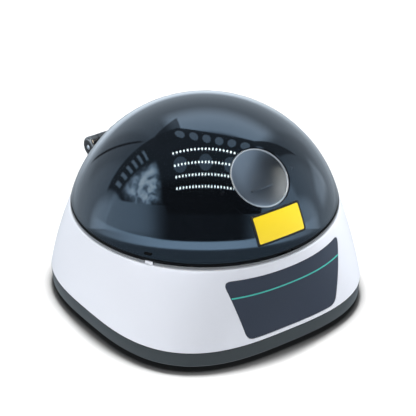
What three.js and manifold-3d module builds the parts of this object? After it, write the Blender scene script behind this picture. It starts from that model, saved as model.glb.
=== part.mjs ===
// Mini centrifuge: a rounded square bench instrument with a smoked dome lid, a press button
// that releases the lid, and an eight place fixed angle rotor on a small direct current motor.
// Millimetres, +Z up. The origin is on the bench under the outline's middle, and the front faces -Y.
import * as THREE from "three";
import { mergeVertices } from "three/addons/utils/BufferGeometryUtils.js";
import Module from "manifold-3d";

const wasm = await Module();
wasm.setup();

// Fits that every piece shares
const clearance = 0.3;
const overrun = 1;

// Dome lid, a slice of a sphere whose centre lies below its rim
const domeRadius = 78.2;
const domeSinkShare = 0.28772;
const domeSink = domeRadius * domeSinkShare;
const domeRim = Math.sqrt(domeRadius ** 2 - domeSink ** 2);
const domeWall = 2.5;

// Upper housing, square at its foot and round at its top, where the dome's rim sits
const housingShelf = 0.607;
const housingTopRadius = domeRim + housingShelf;
const housingFlare = 3.9;
const housingFootHalf = housingTopRadius + housingFlare;
const housingHeight = 44.6;
const housingWall = 2.5;
const housingEdge = 0.8;
const housingLipWidth = 6.5;
const housingLipRadius = housingTopRadius - housingLipWidth;
const housingLipThickness = 2.5;
const bulgePower = 1.41;

// Feet
const footRadius = 8;
const footStand = 3;
const footPocket = 1;
const footChamfer = 0.7;
const footStemRadius = 2.4;
const footSpreadShare = 0.6675;
const footSpread = housingFootHalf * footSpreadShare;

// Bottom tray, a rounded square pan flush with the housing's foot
const cornerPower = 2.94;
const roundPower = 2;
const trayDraft = 0.5;
const trayTopHalf = housingFootHalf;
const trayBottomHalf = trayTopHalf - trayDraft;
const trayBand = 9.1;
const trayFloor = 2.5;
const trayWall = 2.5;
const trayEdge = 1;
const trayLipRise = 3.4;
const trayLipWall = 1.6;

// Posts that the tray screws pull down
const postReachShare = 0.89;
const postReach = housingTopRadius * postReachShare;
const postRadius = 4;
const postAngle = 55;
const postBite = 1.5;
const trayBossRadius = 5;
const trayBossRise = 6;
const screwHeadRadius = 2.9;
const screwHeadHeight = 1.8;
const screwShankRadius = 1.4;
const screwRecess = 3;
const screwBite = 11;

// Front panel inlay
const panelTopShare = 0.5013;
const panelFootShare = 0.3778;
const panelShiftShare = 0.039;
const panelTopHalf = housingFootHalf * panelTopShare;
const panelFootHalf = housingFootHalf * panelFootShare;
// The panel sits a little right of the middle
const panelShift = housingFootHalf * panelShiftShare;
const panelFootMargin = 2.8;
const panelTopMargin = 6.8;
const panelCorner = 4.2;
const panelThickness = 0.8;

// Lid seal ring on the housing's top edge, open where the housing's tab stands
const sealHeight = 1.2;
const sealWidth = 0.9;
const sealInset = 0.3;
const lidGap = 1.1;
const tabWidth = 4.4;
const tabGap = 1;
const tabRoot = 0.4;
const tabRise = 0.2;

// Rotor chamber bowl
const flangeThickness = 1.7;
const mouthInset = 15.5;
const mouthRadius = housingTopRadius - mouthInset;
const bowlWall = 2.2;
const bowlDepth = 16.5;
const bowlTurnInset = 2.5;
const bowlTurnRadius = mouthRadius - bowlTurnInset;
const bowlTurnRise = 5.5;
const bowlFloorRadius = bowlTurnRadius - bowlTurnRise;
const mouthEdge = 0.8;
const bossRadius = 12;
const bossDraft = 1;
const bossRise = 4;
const shaftHoleRadius = 3.2;

// Sticker on the dome, on an axis that leans forward from the dome's centre
const stickerLean = 61.7;
const stickerWidthShare = 0.2033;
const stickerHeightShare = 0.1074;
const stickerHalfWidth = domeRadius * stickerWidthShare;
const stickerHalfHeight = domeRadius * stickerHeightShare;
const stickerThickness = 0.4;

// Press button, on an axis that leans forward from the dome's centre
const buttonLean = 41.9;
const buttonShare = 0.22;
const buttonRadius = domeRadius * buttonShare;
const buttonSkirt = 3.6;
const buttonSkirtWall = 2;
const buttonLip = 1.1;
const buttonLipDrop = 0.6;
const buttonDish = 1.6;
const buttonSkin = 1.6;
const buttonSet = 0.4;
const stemRadius = 3;
const stemTipRadius = 1.5;
const stemTip = 1;
const sleeveWall = 1.8;
const sleeveDepth = 8;
const sleeveOuter = buttonRadius + clearance + sleeveWall;

// Button spring
const buttonSpringRadius = 6.2;
const buttonSpringWire = 0.8;
const buttonSpringTurns = 2;

// Latch carrier under the button
const carrierThickness = 2;
const carrierEarGap = 2.7;
const carrierEarReach = sleeveOuter + carrierEarGap;
const carrierEarRadius = 3.4;
const carrierBossRadius = 2.8;
const carrierScrewRadius = 0.9;
const carrierHeadRadius = 1.9;
const carrierHeadHeight = 1.4;
const carrierScrewBite = 3.2;
const cheekThickness = 2;
const cheekHalfLength = 3.6;

// Latch lever
const leverHalfWidth = 4;
const leverBar = 3;
const leverArmShare = 0.2174;
const leverArm = domeRadius * leverArmShare;
const leverDrop = 4.6;
const leverPinRadius = 1.2;
const leverBossRadius = 2.8;
const leverKneeRise = 3;
const hookInset = 8.3;
const hookReach = housingTopRadius - hookInset;
const hookBar = 2.4;
const hookDrop = 2.8;
const hookTooth = 2.4;
const hookRootHeight = 2.8;
const hookTipHeight = 1.6;

// Latch catch under the flange
const catchHalfWidth = 12;
const catchInset = 7.9;
const catchDepth = 4.4;
const catchNotchDepth = 2.3;
const catchOuterReach = housingTopRadius - catchInset;
const catchInnerReach = catchOuterReach - catchDepth;
const catchNoseReach = catchOuterReach - catchNotchDepth;
const catchNotchHalf = 5.5;
const catchHeight = 3.4;
const catchSlotInset = 3.9;
const catchSlotReach = housingTopRadius - catchSlotInset;
const catchScrewOffset = 8.9;
const smallScrewRadius = 1;
const smallHeadRadius = 2;
const smallHeadHeight = 1.1;

// Lid hinge
const hingeSetback = 8.5;
const hingeRise = 0.4;
const hingeY = housingTopRadius + hingeSetback;
const hingeRadius = 6;
const hingeHalf = 24;
const earWidth = 6;
const knuckleInner = 8.5;
const hingePinRadius = 1.5;
const hingePinProud = 0.5;
const armPad = 3.6;
const armPadShare = 0.23;
const armScrewLean = 62;
const armScrewRadius = 1.4;
const armHeadRadius = 2.8;
const armHeadHeight = 1.5;
const armScrewSkin = 0.8;
const bracketThickness = 2.4;
const bracketReach = 21.4;
const bracketDrop = 6.4;
const bracketLegFore = 5.5;
const bracketLegAft = 1;
const bracketInnerY = hingeY - bracketReach;
const bracketLegFront = hingeY - bracketLegFore;
const bracketLegBack = hingeY + bracketLegAft;
const bracketScrewX = (2 * hingeHalf) / 3;
const bracketScrewInset = 1.4;
const bracketScrewY = bracketInnerY + bracketScrewInset;
const bracketBossRadius = 2.6;
const hingeSpringRadius = 3.7;
const hingeSpringWire = 1;
const hingeSpringTurns = 7.5;
const hingeSpringHalf = 7.4;
const hingeSpringFoot = 6;
const hingeSpringKnee = 4.4;
const hingeSpringLeg = 7.5;

// Lid interlock
const interlockAngle = 211.5;
const interlockInset = 10.3;
const interlockReach = housingTopRadius - interlockInset;
const interlockDepth = 5.4;
const interlockLength = 14.5;
const interlockHeight = 10;
const interlockPegOffset = 5.2;
const interlockPegRadius = 1;
const plungerRadius = 1.5;
const plungerLength = 7.5;
const plungerProud = 0.5;
const strikerWidth = 4;
const strikerHeight = 3;
const strikerInset = 11.9;
const strikerInner = housingTopRadius - strikerInset;

// Motor and its mounting
const motorRadius = 18;
const motorFootZ = 8;
const motorEdge = 1.2;
const motorBossRadius = 5;
const motorBossRise = 2;
const plateMargin = 7;
const plateHalf = motorRadius + plateMargin;
const plateThickness = 2;
const plateCorner = 5;
const mountMargin = 3.2;
const mountReach = motorRadius + mountMargin;
const mountPostRadius = 3.5;
const mountPostDrop = 3;
const damperRadius = 4.6;
const damperHeight = 2;
const mountScrewRadius = 1.2;
const mountHeadRadius = 2.4;
const mountHeadHeight = 1.6;
const motorScrewReach = 11;

// Rotor, shaft and knob
const shaftRadius = 2;
const shaftInMotor = 12;
const rotorWebRise = 17.5;
const rotorRimShare = 0.4731;
const rotorConeInnerShare = 0.3784;
const rotorConeOuterShare = 0.8784;
const rotorRimRadius = domeRadius * rotorRimShare;
const rotorConeInner = rotorRimRadius * rotorConeInnerShare;
const rotorConeOuter = rotorRimRadius * rotorConeOuterShare;
const rotorWall = 5;
const rotorRimWidth = 2.6;
const rotorRimHeight = 3;
const hubRadius = 9;
const hubDrop = 9;
const hubBore = 4.2;
const socketShare = 0.1514;
const socketReachShare = 0.6351;
const socketRadius = rotorRimRadius * socketShare;
const socketReach = rotorRimRadius * socketReachShare;
const socketCount = 8;
const collarRadius = 3.9;
const collarRise = 3;
const knobRadius = 8.5;
const knobHeight = 10;
const knobFlute = 1.3;
const knobFluteCount = 12;
const knobEdge = 1;

// Rear power pad, switch and inlet
const padHalf = 27;
const padLow = 19.6;
const padHigh = 42.4;
const padInset = 2.4;
const padDepth = 3.5;
const padFaceY = housingFootHalf - padInset;
const padInnerY = padFaceY - padDepth;
const padMargin = 1.5;
const powerX = 13;
const powerZ = 31;
const bezelHalfWidth = 7.2;
const bezelHalfHeight = 9.6;
const bezelThickness = 1.4;
const switchWall = 0.9;
const switchDepth = 14;
const rockerHalfWidth = 5.2;
const rockerHalfHeight = 7.2;
const rockerDepth = 4;
const rockerRise = 2.4;
const rockerValley = 1;
const rockerThrow = 10;
const trunnionRadius = 0.9;
const inletFlangeRadius = 5.5;
const inletBarrelRadius = 4;
const inletBoreRadius = 3.1;
const inletDepth = 13;
const inletBoreDepth = 9.5;
const inletPinRadius = 1;
const nutRadius = 6.4;
const nutHeight = 2.2;

// Control board
const boardWidthShare = 0.2393;
const boardLengthShare = 0.3275;
const boardPlaceShare = 0.592;
const boardHalfX = housingFootHalf * boardWidthShare;
const boardHalfY = housingFootHalf * boardLengthShare;
const boardX = -housingFootHalf * boardPlaceShare;
const boardRise = 4;
const boardThickness = 1.6;
const boardPostRadius = 2.6;
const boardPinRadius = 1.1;
const boardPostInset = 4;
const capacitorRadius = 5;
const capacitorHeight = 13;
const terminalHalf = 4.5;
const terminalHeight = 8;
const leadRadius = 1.1;
const leadSagShare = 0.35;

// Facets
const roundSides = 48;
const bowlSides = 32;
const smallSides = 12;
const tinySides = 10;
const housingRows = 5;
const domeRows = 8;

// How many wire diameters apart two places on a spring count as two stretches of it
const gapStretchShare = 3;

const degrees = Math.PI / 180;
const lerp = THREE.MathUtils.lerp;

// Heights that follow from the sizes above
const trayFootZ = footStand;
const trayTopZ = trayFootZ + trayBand;
const housingFootZ = trayTopZ + clearance;
const housingTopZ = housingFootZ + housingHeight;
const lipUnderZ = housingTopZ - housingLipThickness;
const flangeUnderZ = housingTopZ + clearance;
const flangeTopZ = flangeUnderZ + flangeThickness;
const sealTopZ = flangeUnderZ + sealHeight;
const sealOuter = housingTopRadius - sealInset;
const sealInner = sealOuter - sealWidth;
const flangeRadius = sealInner - clearance;
const domeFootZ = sealTopZ + lidGap;
const domeCentreZ = domeFootZ - domeSink;
const domeInner = domeRadius - domeWall;
const panelLow = housingFootZ + panelFootMargin;
const panelHigh = housingTopZ - panelTopMargin;
const bowlFloorZ = housingTopZ - bowlDepth;
const bowlUnderZ = bowlFloorZ - bowlWall;
const rotorWebZ = bowlFloorZ + rotorWebRise;
const catchFootZ = housingTopZ - catchHeight;
const hookFootZ = catchFootZ - hookDrop;
const leverKneeZ = flangeTopZ + leverKneeRise;
const hingeZ = domeFootZ + hingeRise;
const bracketFootZ = housingTopZ - bracketDrop;
const armScrewX = hingeHalf / 2;
const armScrewSpread = Math.asin(armScrewX / (domeRadius * Math.sin(armScrewLean * degrees))) / degrees;
const armPadTop = hingeZ + domeRadius * armPadShare;

// Materials
const finish = (color, roughness, metalness = 0) => new THREE.MeshStandardMaterial({ color, roughness, metalness });
const whiteShell = finish(0xe9ebf0, 0.4);
const greyTray = finish(0x474c50, 0.55);
const panelInk = finish(0x41464f, 0.45);
const sealGrey = finish(0x7d868c, 0.4);
const blackPlastic = finish(0x17181b, 0.45);
const chamberBlack = finish(0x222428, 0.5);
const smokedPlastic = new THREE.MeshStandardMaterial({
  color: 0x2c3540, roughness: 0.05, metalness: 0, transparent: true, opacity: 0.72,
});
const smokedButton = finish(0x33393f, 0.15);
const rotorBlue = finish(0x2b3036, 0.4);
const rubber = finish(0x0d0d0e, 0.9);
const steel = finish(0xb9bcc0, 0.3, 1);
const springSteel = finish(0x9b9ea3, 0.35, 1);
const brass = finish(0xc2a35a, 0.3, 1);
const boardGreen = finish(0x1f5a3c, 0.5);
const canBlack = finish(0x1c2638, 0.4);
const terminalGreen = finish(0x2f7d54, 0.5);
const wireRed = finish(0x9c2420, 0.6);
const stickerYellow = finish(0xf3cf3c, 0.5);

// A geometry as a closed solid: shared vertices merged, empty triangles dropped, faces out
function solid(geometry) {
  const bare = new THREE.BufferGeometry().setAttribute("position", geometry.getAttribute("position"));
  bare.setIndex(geometry.getIndex());
  const merged = mergeVertices(bare, 1e-4);
  const p = merged.getAttribute("position").array;
  const index = merged.getIndex().array;
  const kept = [];
  let volume = 0;
  for (let i = 0; i < index.length; i += 3) {
    const [a, b, c] = [index[i], index[i + 1], index[i + 2]];
    if (a === b || b === c || c === a) continue;
    kept.push(a, b, c);
    const [va, vb, vc] = [a, b, c].map((n) => new THREE.Vector3().fromArray(p, 3 * n));
    volume += va.dot(vb.cross(vc));
  }
  if (volume < 0) kept.reverse();
  return new wasm.Manifold(new wasm.Mesh({ numProp: 3, vertProperties: p, triVerts: new Uint32Array(kept) }));
}

// A named mesh of a solid, with flat shaded faces
function piece(name, shape, material) {
  const { vertProperties, triVerts } = shape.getMesh();
  const geometry = new THREE.BufferGeometry();
  geometry.setAttribute("position", new THREE.BufferAttribute(vertProperties, 3));
  geometry.setIndex(new THREE.BufferAttribute(triVerts, 1));
  const mesh = new THREE.Mesh(geometry.toNonIndexed(), material);
  mesh.geometry.computeVertexNormals();
  mesh.name = name;
  return mesh;
}

const joined = (first, ...rest) => rest.reduce((sum, next) => sum.add(next), first);
const cut = (first, ...rest) => rest.reduce((sum, next) => sum.subtract(next), first);

// A block between two corners
function block(low, high) {
  const size = high.map((h, i) => h - low[i]);
  const centre = high.map((h, i) => (h + low[i]) / 2);
  return solid(new THREE.BoxGeometry(...size).translate(...centre));
}

// An upright round bar from one height to another
function post(radius, x, y, low, high, sides = smallSides) {
  const bar = new THREE.CylinderGeometry(radius, radius, high - low, sides).rotateX(Math.PI / 2);
  return solid(bar.translate(x, y, (low + high) / 2));
}

// A round bar along X or along Y
function barX(radius, y, z, low, high, sides = smallSides) {
  const bar = new THREE.CylinderGeometry(radius, radius, high - low, sides).rotateZ(Math.PI / 2);
  return solid(bar.translate((low + high) / 2, y, z));
}

function barY(radius, x, z, low, high, sides = smallSides) {
  return solid(new THREE.CylinderGeometry(radius, radius, high - low, sides).translate(x, (low + high) / 2, z));
}

// A solid of revolution about Z from pairs of radius and height
function turned(profile, sides = smallSides, closed = true) {
  const points = profile.map(([r, z]) => new THREE.Vector2(r, z));
  if (closed) points.push(points[0].clone());
  return solid(new THREE.LatheGeometry(points, sides).rotateX(Math.PI / 2));
}

// A ball about the dome's centre
function domeBall(radius) {
  return solid(new THREE.SphereGeometry(radius, roundSides, roundSides).rotateX(Math.PI / 2)
    .translate(0, 0, domeCentreZ));
}

// A tube of round wire along a curve
function wire(points, radius, steps, sides) {
  const section = new THREE.Shape(Array.from({ length: sides }, (_, i) => {
    const turn = (2 * Math.PI * i) / sides;
    return new THREE.Vector2(radius * Math.cos(turn), radius * Math.sin(turn));
  }));
  const extrudePath = new THREE.CatmullRomCurve3(points);
  return solid(new THREE.ExtrudeGeometry(section, { steps, extrudePath, bevelEnabled: false }));
}

// Prints the least gap that a spring's wire keeps to itself, measured between points along it.
// Points closer along the wire than a few diameters are the same stretch of wire.
function printLeastGap(name, points, diameter) {
  const curve = new THREE.CatmullRomCurve3(points);
  const count = 6 * points.length;
  const spots = curve.getSpacedPoints(count);
  const stretch = Math.ceil((gapStretchShare * diameter * count) / curve.getLength());
  let least = Infinity;
  for (let i = 0; i < count; i++) {
    for (let j = i + stretch; j <= count; j++) least = Math.min(least, spots[i].distanceTo(spots[j]) - diameter);
  }
  console.log(`${name}: least gap to itself ${least.toFixed(2)} mm`);
}

// A horizontal ring of the rounded square whose half width and corner power are given
function ring(half, power, z) {
  return Array.from({ length: roundSides }, (_, i) => {
    const turn = (2 * Math.PI * i) / roundSides;
    const [c, s] = [Math.cos(turn), Math.sin(turn)];
    const reach = half / (Math.abs(c) ** power + Math.abs(s) ** power) ** (1 / power);
    return new THREE.Vector3(reach * c, reach * s, z);
  });
}

// A skin over a stack of rings: capped at both ends, or closed from the last ring to the first
function loft(rings, capped) {
  const count = rings[0].length;
  const corners = rings.flat();
  const faces = [];
  const rows = capped ? rings.length - 1 : rings.length;
  for (let row = 0; row < rows; row++) {
    const [a, b] = [row * count, ((row + 1) % rings.length) * count];
    for (let i = 0; i < count; i++) {
      const j = (i + 1) % count;
      faces.push(a + i, a + j, b + j, a + i, b + j, b + i);
    }
  }
  if (capped) {
    const last = (rings.length - 1) * count;
    for (const [start, flip] of [[0, true], [last, false]]) {
      const z = corners[start].z;
      const hub = corners.push(new THREE.Vector3(0, 0, z)) - 1;
      for (let i = 0; i < count; i++) {
        const [p, q] = [start + i, start + ((i + 1) % count)];
        faces.push(hub, flip ? q : p, flip ? p : q);
      }
    }
  }
  const geometry = new THREE.BufferGeometry().setFromPoints(corners);
  return solid(geometry.setIndex(faces));
}

// The housing's skin at a share of its height, moved in by an inset
function housingRing(share, inset, z = lerp(housingFootZ, housingTopZ, share)) {
  const half = lerp(housingFootHalf, housingTopRadius, share ** bulgePower) - inset;
  return ring(half, lerp(cornerPower, roundPower, share), z);
}

// A filled body bounded by the housing's skin, moved in by an inset
function housingCore(inset) {
  const rings = [];
  for (let row = 0; row <= housingRows; row++) rings.push(housingRing(row / housingRows, inset));
  return loft(rings, true);
}

// Three groups: what stands still, what opens and what spins, each set back so that the
// outline's middle is over the origin
const rearShift = (hingeY + hingeRadius - trayTopHalf) / 2;
const centrifuge = new THREE.Group();
const base = new THREE.Group();
const lid = new THREE.Group();
const spinning = new THREE.Group();
centrifuge.add(base, lid, spinning);
base.position.y = -rearShift;
lid.position.set(0, -rearShift, domeCentreZ);
spinning.position.y = -rearShift;

// The press parts stand on an axis from the dome's centre that leans to the front
const press = new THREE.Group();
press.rotation.x = buttonLean * degrees;
lid.add(press);
const pressTurn = (shape) => shape.rotate([buttonLean, 0, 0]).translate([0, 0, domeCentreZ]);

const signs = [[-1, -1], [1, -1], [1, 1], [-1, 1]];
const corner = ["front_left", "front_right", "rear_right", "rear_left"];
const postSpots = signs.map(([sx, sy]) => [
  sx * postReach * Math.cos(postAngle * degrees), sy * postReach * Math.sin(postAngle * degrees),
]);

// Bottom tray: a pan with foot pockets, screw bosses and board posts
const boardTopZ = trayFootZ + trayFloor + boardRise + clearance + boardThickness;
const boardSpots = signs.map(([sx, sy]) => [
  boardX + sx * (boardHalfX - boardPostInset), sy * (boardHalfY - boardPostInset),
]);

function bottomTray() {
  const lipHalf = housingFootHalf - housingWall - 3 * clearance;
  const floorZ = trayFootZ + trayFloor;
  const power = cornerPower;
  let tray = loft([
    ring(trayBottomHalf - trayEdge, power, trayFootZ),
    ring(trayBottomHalf, power, trayFootZ + trayEdge),
    ring(trayTopHalf, power, trayTopZ),
    ring(lipHalf, power, trayTopZ),
    ring(lipHalf, power, trayTopZ + trayLipRise),
    ring(lipHalf - trayLipWall, power, trayTopZ + trayLipRise),
    ring(lipHalf - trayLipWall, power, trayTopZ),
    ring(trayBottomHalf - trayWall - trayEdge, power, floorZ),
  ], true);
  for (const [x, y] of postSpots) {
    tray = tray.add(post(trayBossRadius, x, y, trayFootZ + trayEdge, trayFootZ + trayBossRise));
    tray = tray.subtract(post(screwHeadRadius + clearance, x, y, trayFootZ - overrun, trayFootZ + screwRecess));
    tray = tray.subtract(post(screwShankRadius + clearance, x, y, trayFootZ, trayFootZ + trayBossRise + overrun));
  }
  for (const [x, y] of boardSpots) {
    tray = joined(tray, post(boardPostRadius, x, y, trayFootZ + trayEdge, floorZ + boardRise, tinySides),
      post(boardPinRadius, x, y, trayFootZ + trayEdge, boardTopZ + boardPinRadius, tinySides));
  }
  for (const [sx, sy] of signs) {
    const [x, y] = [sx * footSpread, sy * footSpread];
    tray = cut(tray, post(footRadius + clearance, x, y, trayFootZ - overrun, trayFootZ + footPocket),
      post(footStemRadius + clearance, x, y, trayFootZ, floorZ + overrun));
  }
  return tray;
}
base.add(piece("bottom_tray", bottomTray(), greyTray));

// Rubber feet, each pressed through the tray's floor by its stem
signs.forEach(([sx, sy], i) => {
  const top = footStand + footPocket - clearance;
  const foot = turned([
    [0, 0], [footRadius - footChamfer, 0], [footRadius, footChamfer], [footRadius, top],
    [footStemRadius, top], [footStemRadius, trayFootZ + trayFloor + clearance], [0, trayFootZ + trayFloor + clearance],
  ], smallSides, false);
  const mesh = piece(`rubber_foot_${corner[i]}`, foot, rubber);
  mesh.position.set(sx * footSpread, sy * footSpread, 0);
  base.add(mesh);
});

// Outline of the front panel, seen from the front, grown all round by a margin
function panelOutline(margin) {
  const [low, high] = [panelLow - margin, panelHigh + margin];
  const [foot, top, r] = [panelFootHalf + margin, panelTopHalf + margin, panelCorner + margin];
  const outline = new THREE.Shape();
  const lean = (top - foot) / (high - low);
  outline.moveTo(-foot + r, low);
  outline.lineTo(foot - r, low);
  outline.quadraticCurveTo(foot, low, foot + lean * r, low + r);
  outline.lineTo(top - lean * r, high - r);
  outline.quadraticCurveTo(top, high, top - r, high);
  outline.lineTo(-top + r, high);
  outline.quadraticCurveTo(-top, high, -top + lean * r, high - r);
  outline.lineTo(-foot - lean * r, low + r);
  outline.quadraticCurveTo(-foot, low, -foot + r, low);
  return outline;
}

function panelPrism(margin) {
  const depth = housingFootHalf;
  const prism = new THREE.ExtrudeGeometry(panelOutline(margin), { depth, bevelEnabled: false, curveSegments: 4 });
  return solid(prism.rotateX(Math.PI / 2).translate(panelShift, -housingFootHalf / 2, 0));
}

// Where the hook passes down, the flange and the housing's lip are open
function hookWindow(inner, outer, low, high) {
  return block([-catchNotchHalf, -outer, low], [catchNotchHalf, -inner, high]);
}

// Interlock places: a spot at the switch, and a turn that takes +X to its side of the rim
const interlockTurn = interlockAngle * degrees;
const interlockSpot = (reach, along = 0) => [
  reach * Math.cos(interlockTurn) - along * Math.sin(interlockTurn),
  reach * Math.sin(interlockTurn) + along * Math.cos(interlockTurn),
];

// A block across the rim at the interlock, where the seal ring is open and the housing has a tab
function rimBlock(near, far, left, right, low, high) {
  return block([near, left, low], [far, right, high]).rotate([0, 0, interlockAngle]);
}

// Upper housing: the white shell, its lip, posts, tab, panel recess and rear openings
function upperHousing() {
  const rings = [];
  for (let row = 0; row < housingRows; row++) rings.push(housingRing(row / housingRows, 0));
  rings.push(housingRing(1, 0, housingTopZ - housingEdge), housingRing(1, housingEdge, housingTopZ));
  rings.push(ring(housingLipRadius, roundPower, housingTopZ), ring(housingLipRadius, roundPower, lipUnderZ));
  for (let row = housingRows - 1; row >= 0; row--) rings.push(housingRing(row / housingRows, housingWall));
  let shell = loft(rings, false);
  for (const [x, y] of postSpots) {
    const foot = trayFootZ + trayBossRise + clearance;
    shell = shell.add(post(postRadius, x, y, foot, lipUnderZ + postBite, tinySides));
    shell = shell.subtract(post(screwShankRadius + clearance, x, y, foot - overrun, foot + screwBite + overrun, tinySides));
  }
  shell = joined(shell, block([-padHalf, padInnerY, padLow], [padHalf, padFaceY, padHigh]),
    rimBlock(sealInner + tabRoot, sealOuter - tabRoot, -tabWidth / 2, tabWidth / 2, housingTopZ - clearance,
      sealTopZ + tabRise));
  const recess = panelPrism(clearance).subtract(housingCore(panelThickness + clearance));
  shell = shell.subtract(recess);
  shell = shell.subtract(hookWindow(housingLipRadius - overrun, housingTopRadius - housingWall,
    hookFootZ - overrun, housingTopZ + overrun));
  shell = shell.subtract(block([-padHalf + padMargin, padFaceY, padLow + padMargin],
    [padHalf - padMargin, housingFootHalf + overrun, padHigh - padMargin]));
  const switchHalf = rockerHalfWidth + 2 * clearance + switchWall;
  const switchHigh = bezelHalfHeight - 2 * clearance;
  shell = shell.subtract(block([powerX - switchHalf, padInnerY - overrun, powerZ - switchHigh],
    [powerX + switchHalf, housingFootHalf + overrun, powerZ + switchHigh]));
  shell = shell.subtract(barY(inletBarrelRadius + clearance, -powerX, powerZ, padInnerY - overrun,
    housingFootHalf + overrun));
  return shell.subtract(block([-hingeHalf - clearance, bracketInnerY - clearance, bracketFootZ - clearance],
    [hingeHalf + clearance, housingFootHalf + overrun, bracketFootZ + bracketThickness + clearance]));
}
base.add(piece("upper_housing", upperHousing(), whiteShell));

// Tray screws, driven up through the tray into the housing's posts
postSpots.forEach(([x, y], i) => {
  const headTop = trayFootZ + screwRecess - clearance;
  const tip = trayFootZ + trayBossRise + clearance + screwBite;
  const screw = joined(post(screwHeadRadius, 0, 0, headTop - screwHeadHeight, headTop, tinySides),
    post(screwShankRadius, 0, 0, headTop - clearance, tip, tinySides));
  const mesh = piece(`tray_screw_${corner[i]}`, screw, steel);
  mesh.position.set(x, y, 0);
  base.add(mesh);
});

// Front panel: a thin dark inlay that follows the housing's skin
const panel = panelPrism(0).intersect(housingCore(0)).subtract(housingCore(panelThickness));
base.add(piece("front_panel", panel, panelInk));

// Lid seal ring
const sealRing = turned([
  [sealInner, flangeUnderZ], [sealOuter, flangeUnderZ], [sealOuter, sealTopZ], [sealInner, sealTopZ],
], roundSides).subtract(rimBlock(sealInner - sealWidth, sealOuter + sealWidth, -tabWidth / 2 - clearance,
  tabWidth / 2 + tabGap, housingTopZ, domeFootZ));
base.add(piece("lid_seal_ring", sealRing, sealGrey));

// Chamber bowl: a turned wall with a flange, a shaft boss, motor posts and bracket bosses
const mountPlaces = { front_left: 210, front_right: 330, rear: 90 };
const mountSpots = Object.values(mountPlaces).map((turn) => [
  mountReach * Math.cos(turn * degrees), mountReach * Math.sin(turn * degrees),
]);

function chamberBowl() {
  let bowl = turned([
    [shaftHoleRadius, bowlFloorZ + bossRise], [bossRadius, bowlFloorZ + bossRise],
    [bossRadius + bossDraft, bowlFloorZ], [bowlFloorRadius, bowlFloorZ],
    [bowlTurnRadius, bowlFloorZ + bowlTurnRise], [mouthRadius, flangeTopZ - mouthEdge],
    [mouthRadius + mouthEdge, flangeTopZ], [flangeRadius, flangeTopZ], [flangeRadius, flangeUnderZ],
    [mouthRadius + bowlWall, flangeUnderZ], [bowlTurnRadius + bowlWall, bowlFloorZ + bowlTurnRise - mouthEdge],
    [bowlFloorRadius + mouthEdge, bowlUnderZ], [bossRadius - bossDraft, bowlUnderZ],
    [bossRadius - bowlWall, bowlUnderZ + bossRise], [shaftHoleRadius, bowlUnderZ + bossRise],
  ], bowlSides);
  for (const [x, y] of mountSpots) {
    bowl = bowl.add(post(mountPostRadius, x, y, bowlUnderZ - mountPostDrop, bowlUnderZ + clearance, tinySides));
    bowl = bowl.subtract(post(mountScrewRadius + clearance, x, y, bowlUnderZ - mountPostDrop - overrun,
      bowlUnderZ, tinySides));
  }
  const bracketTop = bracketFootZ + bracketThickness + clearance;
  for (const side of [-1, 1]) {
    const [x, y] = [side * bracketScrewX, bracketScrewY];
    bowl = bowl.add(post(bracketBossRadius, x, y, bracketTop, flangeUnderZ + clearance, tinySides));
    bowl = bowl.subtract(post(smallScrewRadius + clearance, x, y, bracketTop - overrun, flangeUnderZ, tinySides));
    bowl = bowl.subtract(post(smallScrewRadius + clearance, side * catchScrewOffset, -(catchInnerReach + catchOuterReach) / 2,
      flangeUnderZ - overrun, flangeTopZ + overrun, tinySides));
    const [sx, sy] = interlockSpot(interlockReach, side * interlockPegOffset);
    bowl = bowl.add(post(interlockPegRadius, sx, sy, catchFootZ, flangeUnderZ + clearance, tinySides));
  }
  const [px, py] = interlockSpot(interlockReach);
  bowl = bowl.subtract(post(plungerRadius + clearance, px, py, flangeUnderZ - overrun, flangeTopZ + overrun, tinySides));
  return bowl.subtract(hookWindow(catchNoseReach + clearance, catchSlotReach + overrun,
    flangeUnderZ - overrun, flangeTopZ + overrun));
}
base.add(piece("chamber_bowl", chamberBowl(), chamberBlack));

// Latch catch and its two screws, hung under the flange
const catchY = -(catchInnerReach + catchOuterReach) / 2;
const catchTopZ = flangeUnderZ - clearance;
let latchCatch = block([-catchHalfWidth, -catchOuterReach, catchFootZ], [catchHalfWidth, -catchInnerReach, catchTopZ]);
latchCatch = latchCatch.subtract(hookWindow(catchNoseReach, catchOuterReach + overrun, catchFootZ - overrun,
  catchTopZ + overrun));
for (const side of [-1, 1]) {
  latchCatch = latchCatch.subtract(post(smallScrewRadius + clearance, side * catchScrewOffset, catchY,
    catchFootZ - overrun, catchTopZ + overrun, tinySides));
}
base.add(piece("latch_catch", latchCatch, steel));

// A small pan head screw standing head up, with its shank down to a tip
function smallScrew(name, x, y, tip) {
  const seat = flangeTopZ + clearance;
  const screw = joined(post(smallHeadRadius, 0, 0, seat, seat + smallHeadHeight, tinySides),
    post(smallScrewRadius, 0, 0, tip, seat + clearance, tinySides));
  const mesh = piece(name, screw, steel);
  mesh.position.set(x, y, 0);
  return mesh;
}
base.add(smallScrew("catch_screw_left", -catchScrewOffset, catchY, catchFootZ));
base.add(smallScrew("catch_screw_right", catchScrewOffset, catchY, catchFootZ));

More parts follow.
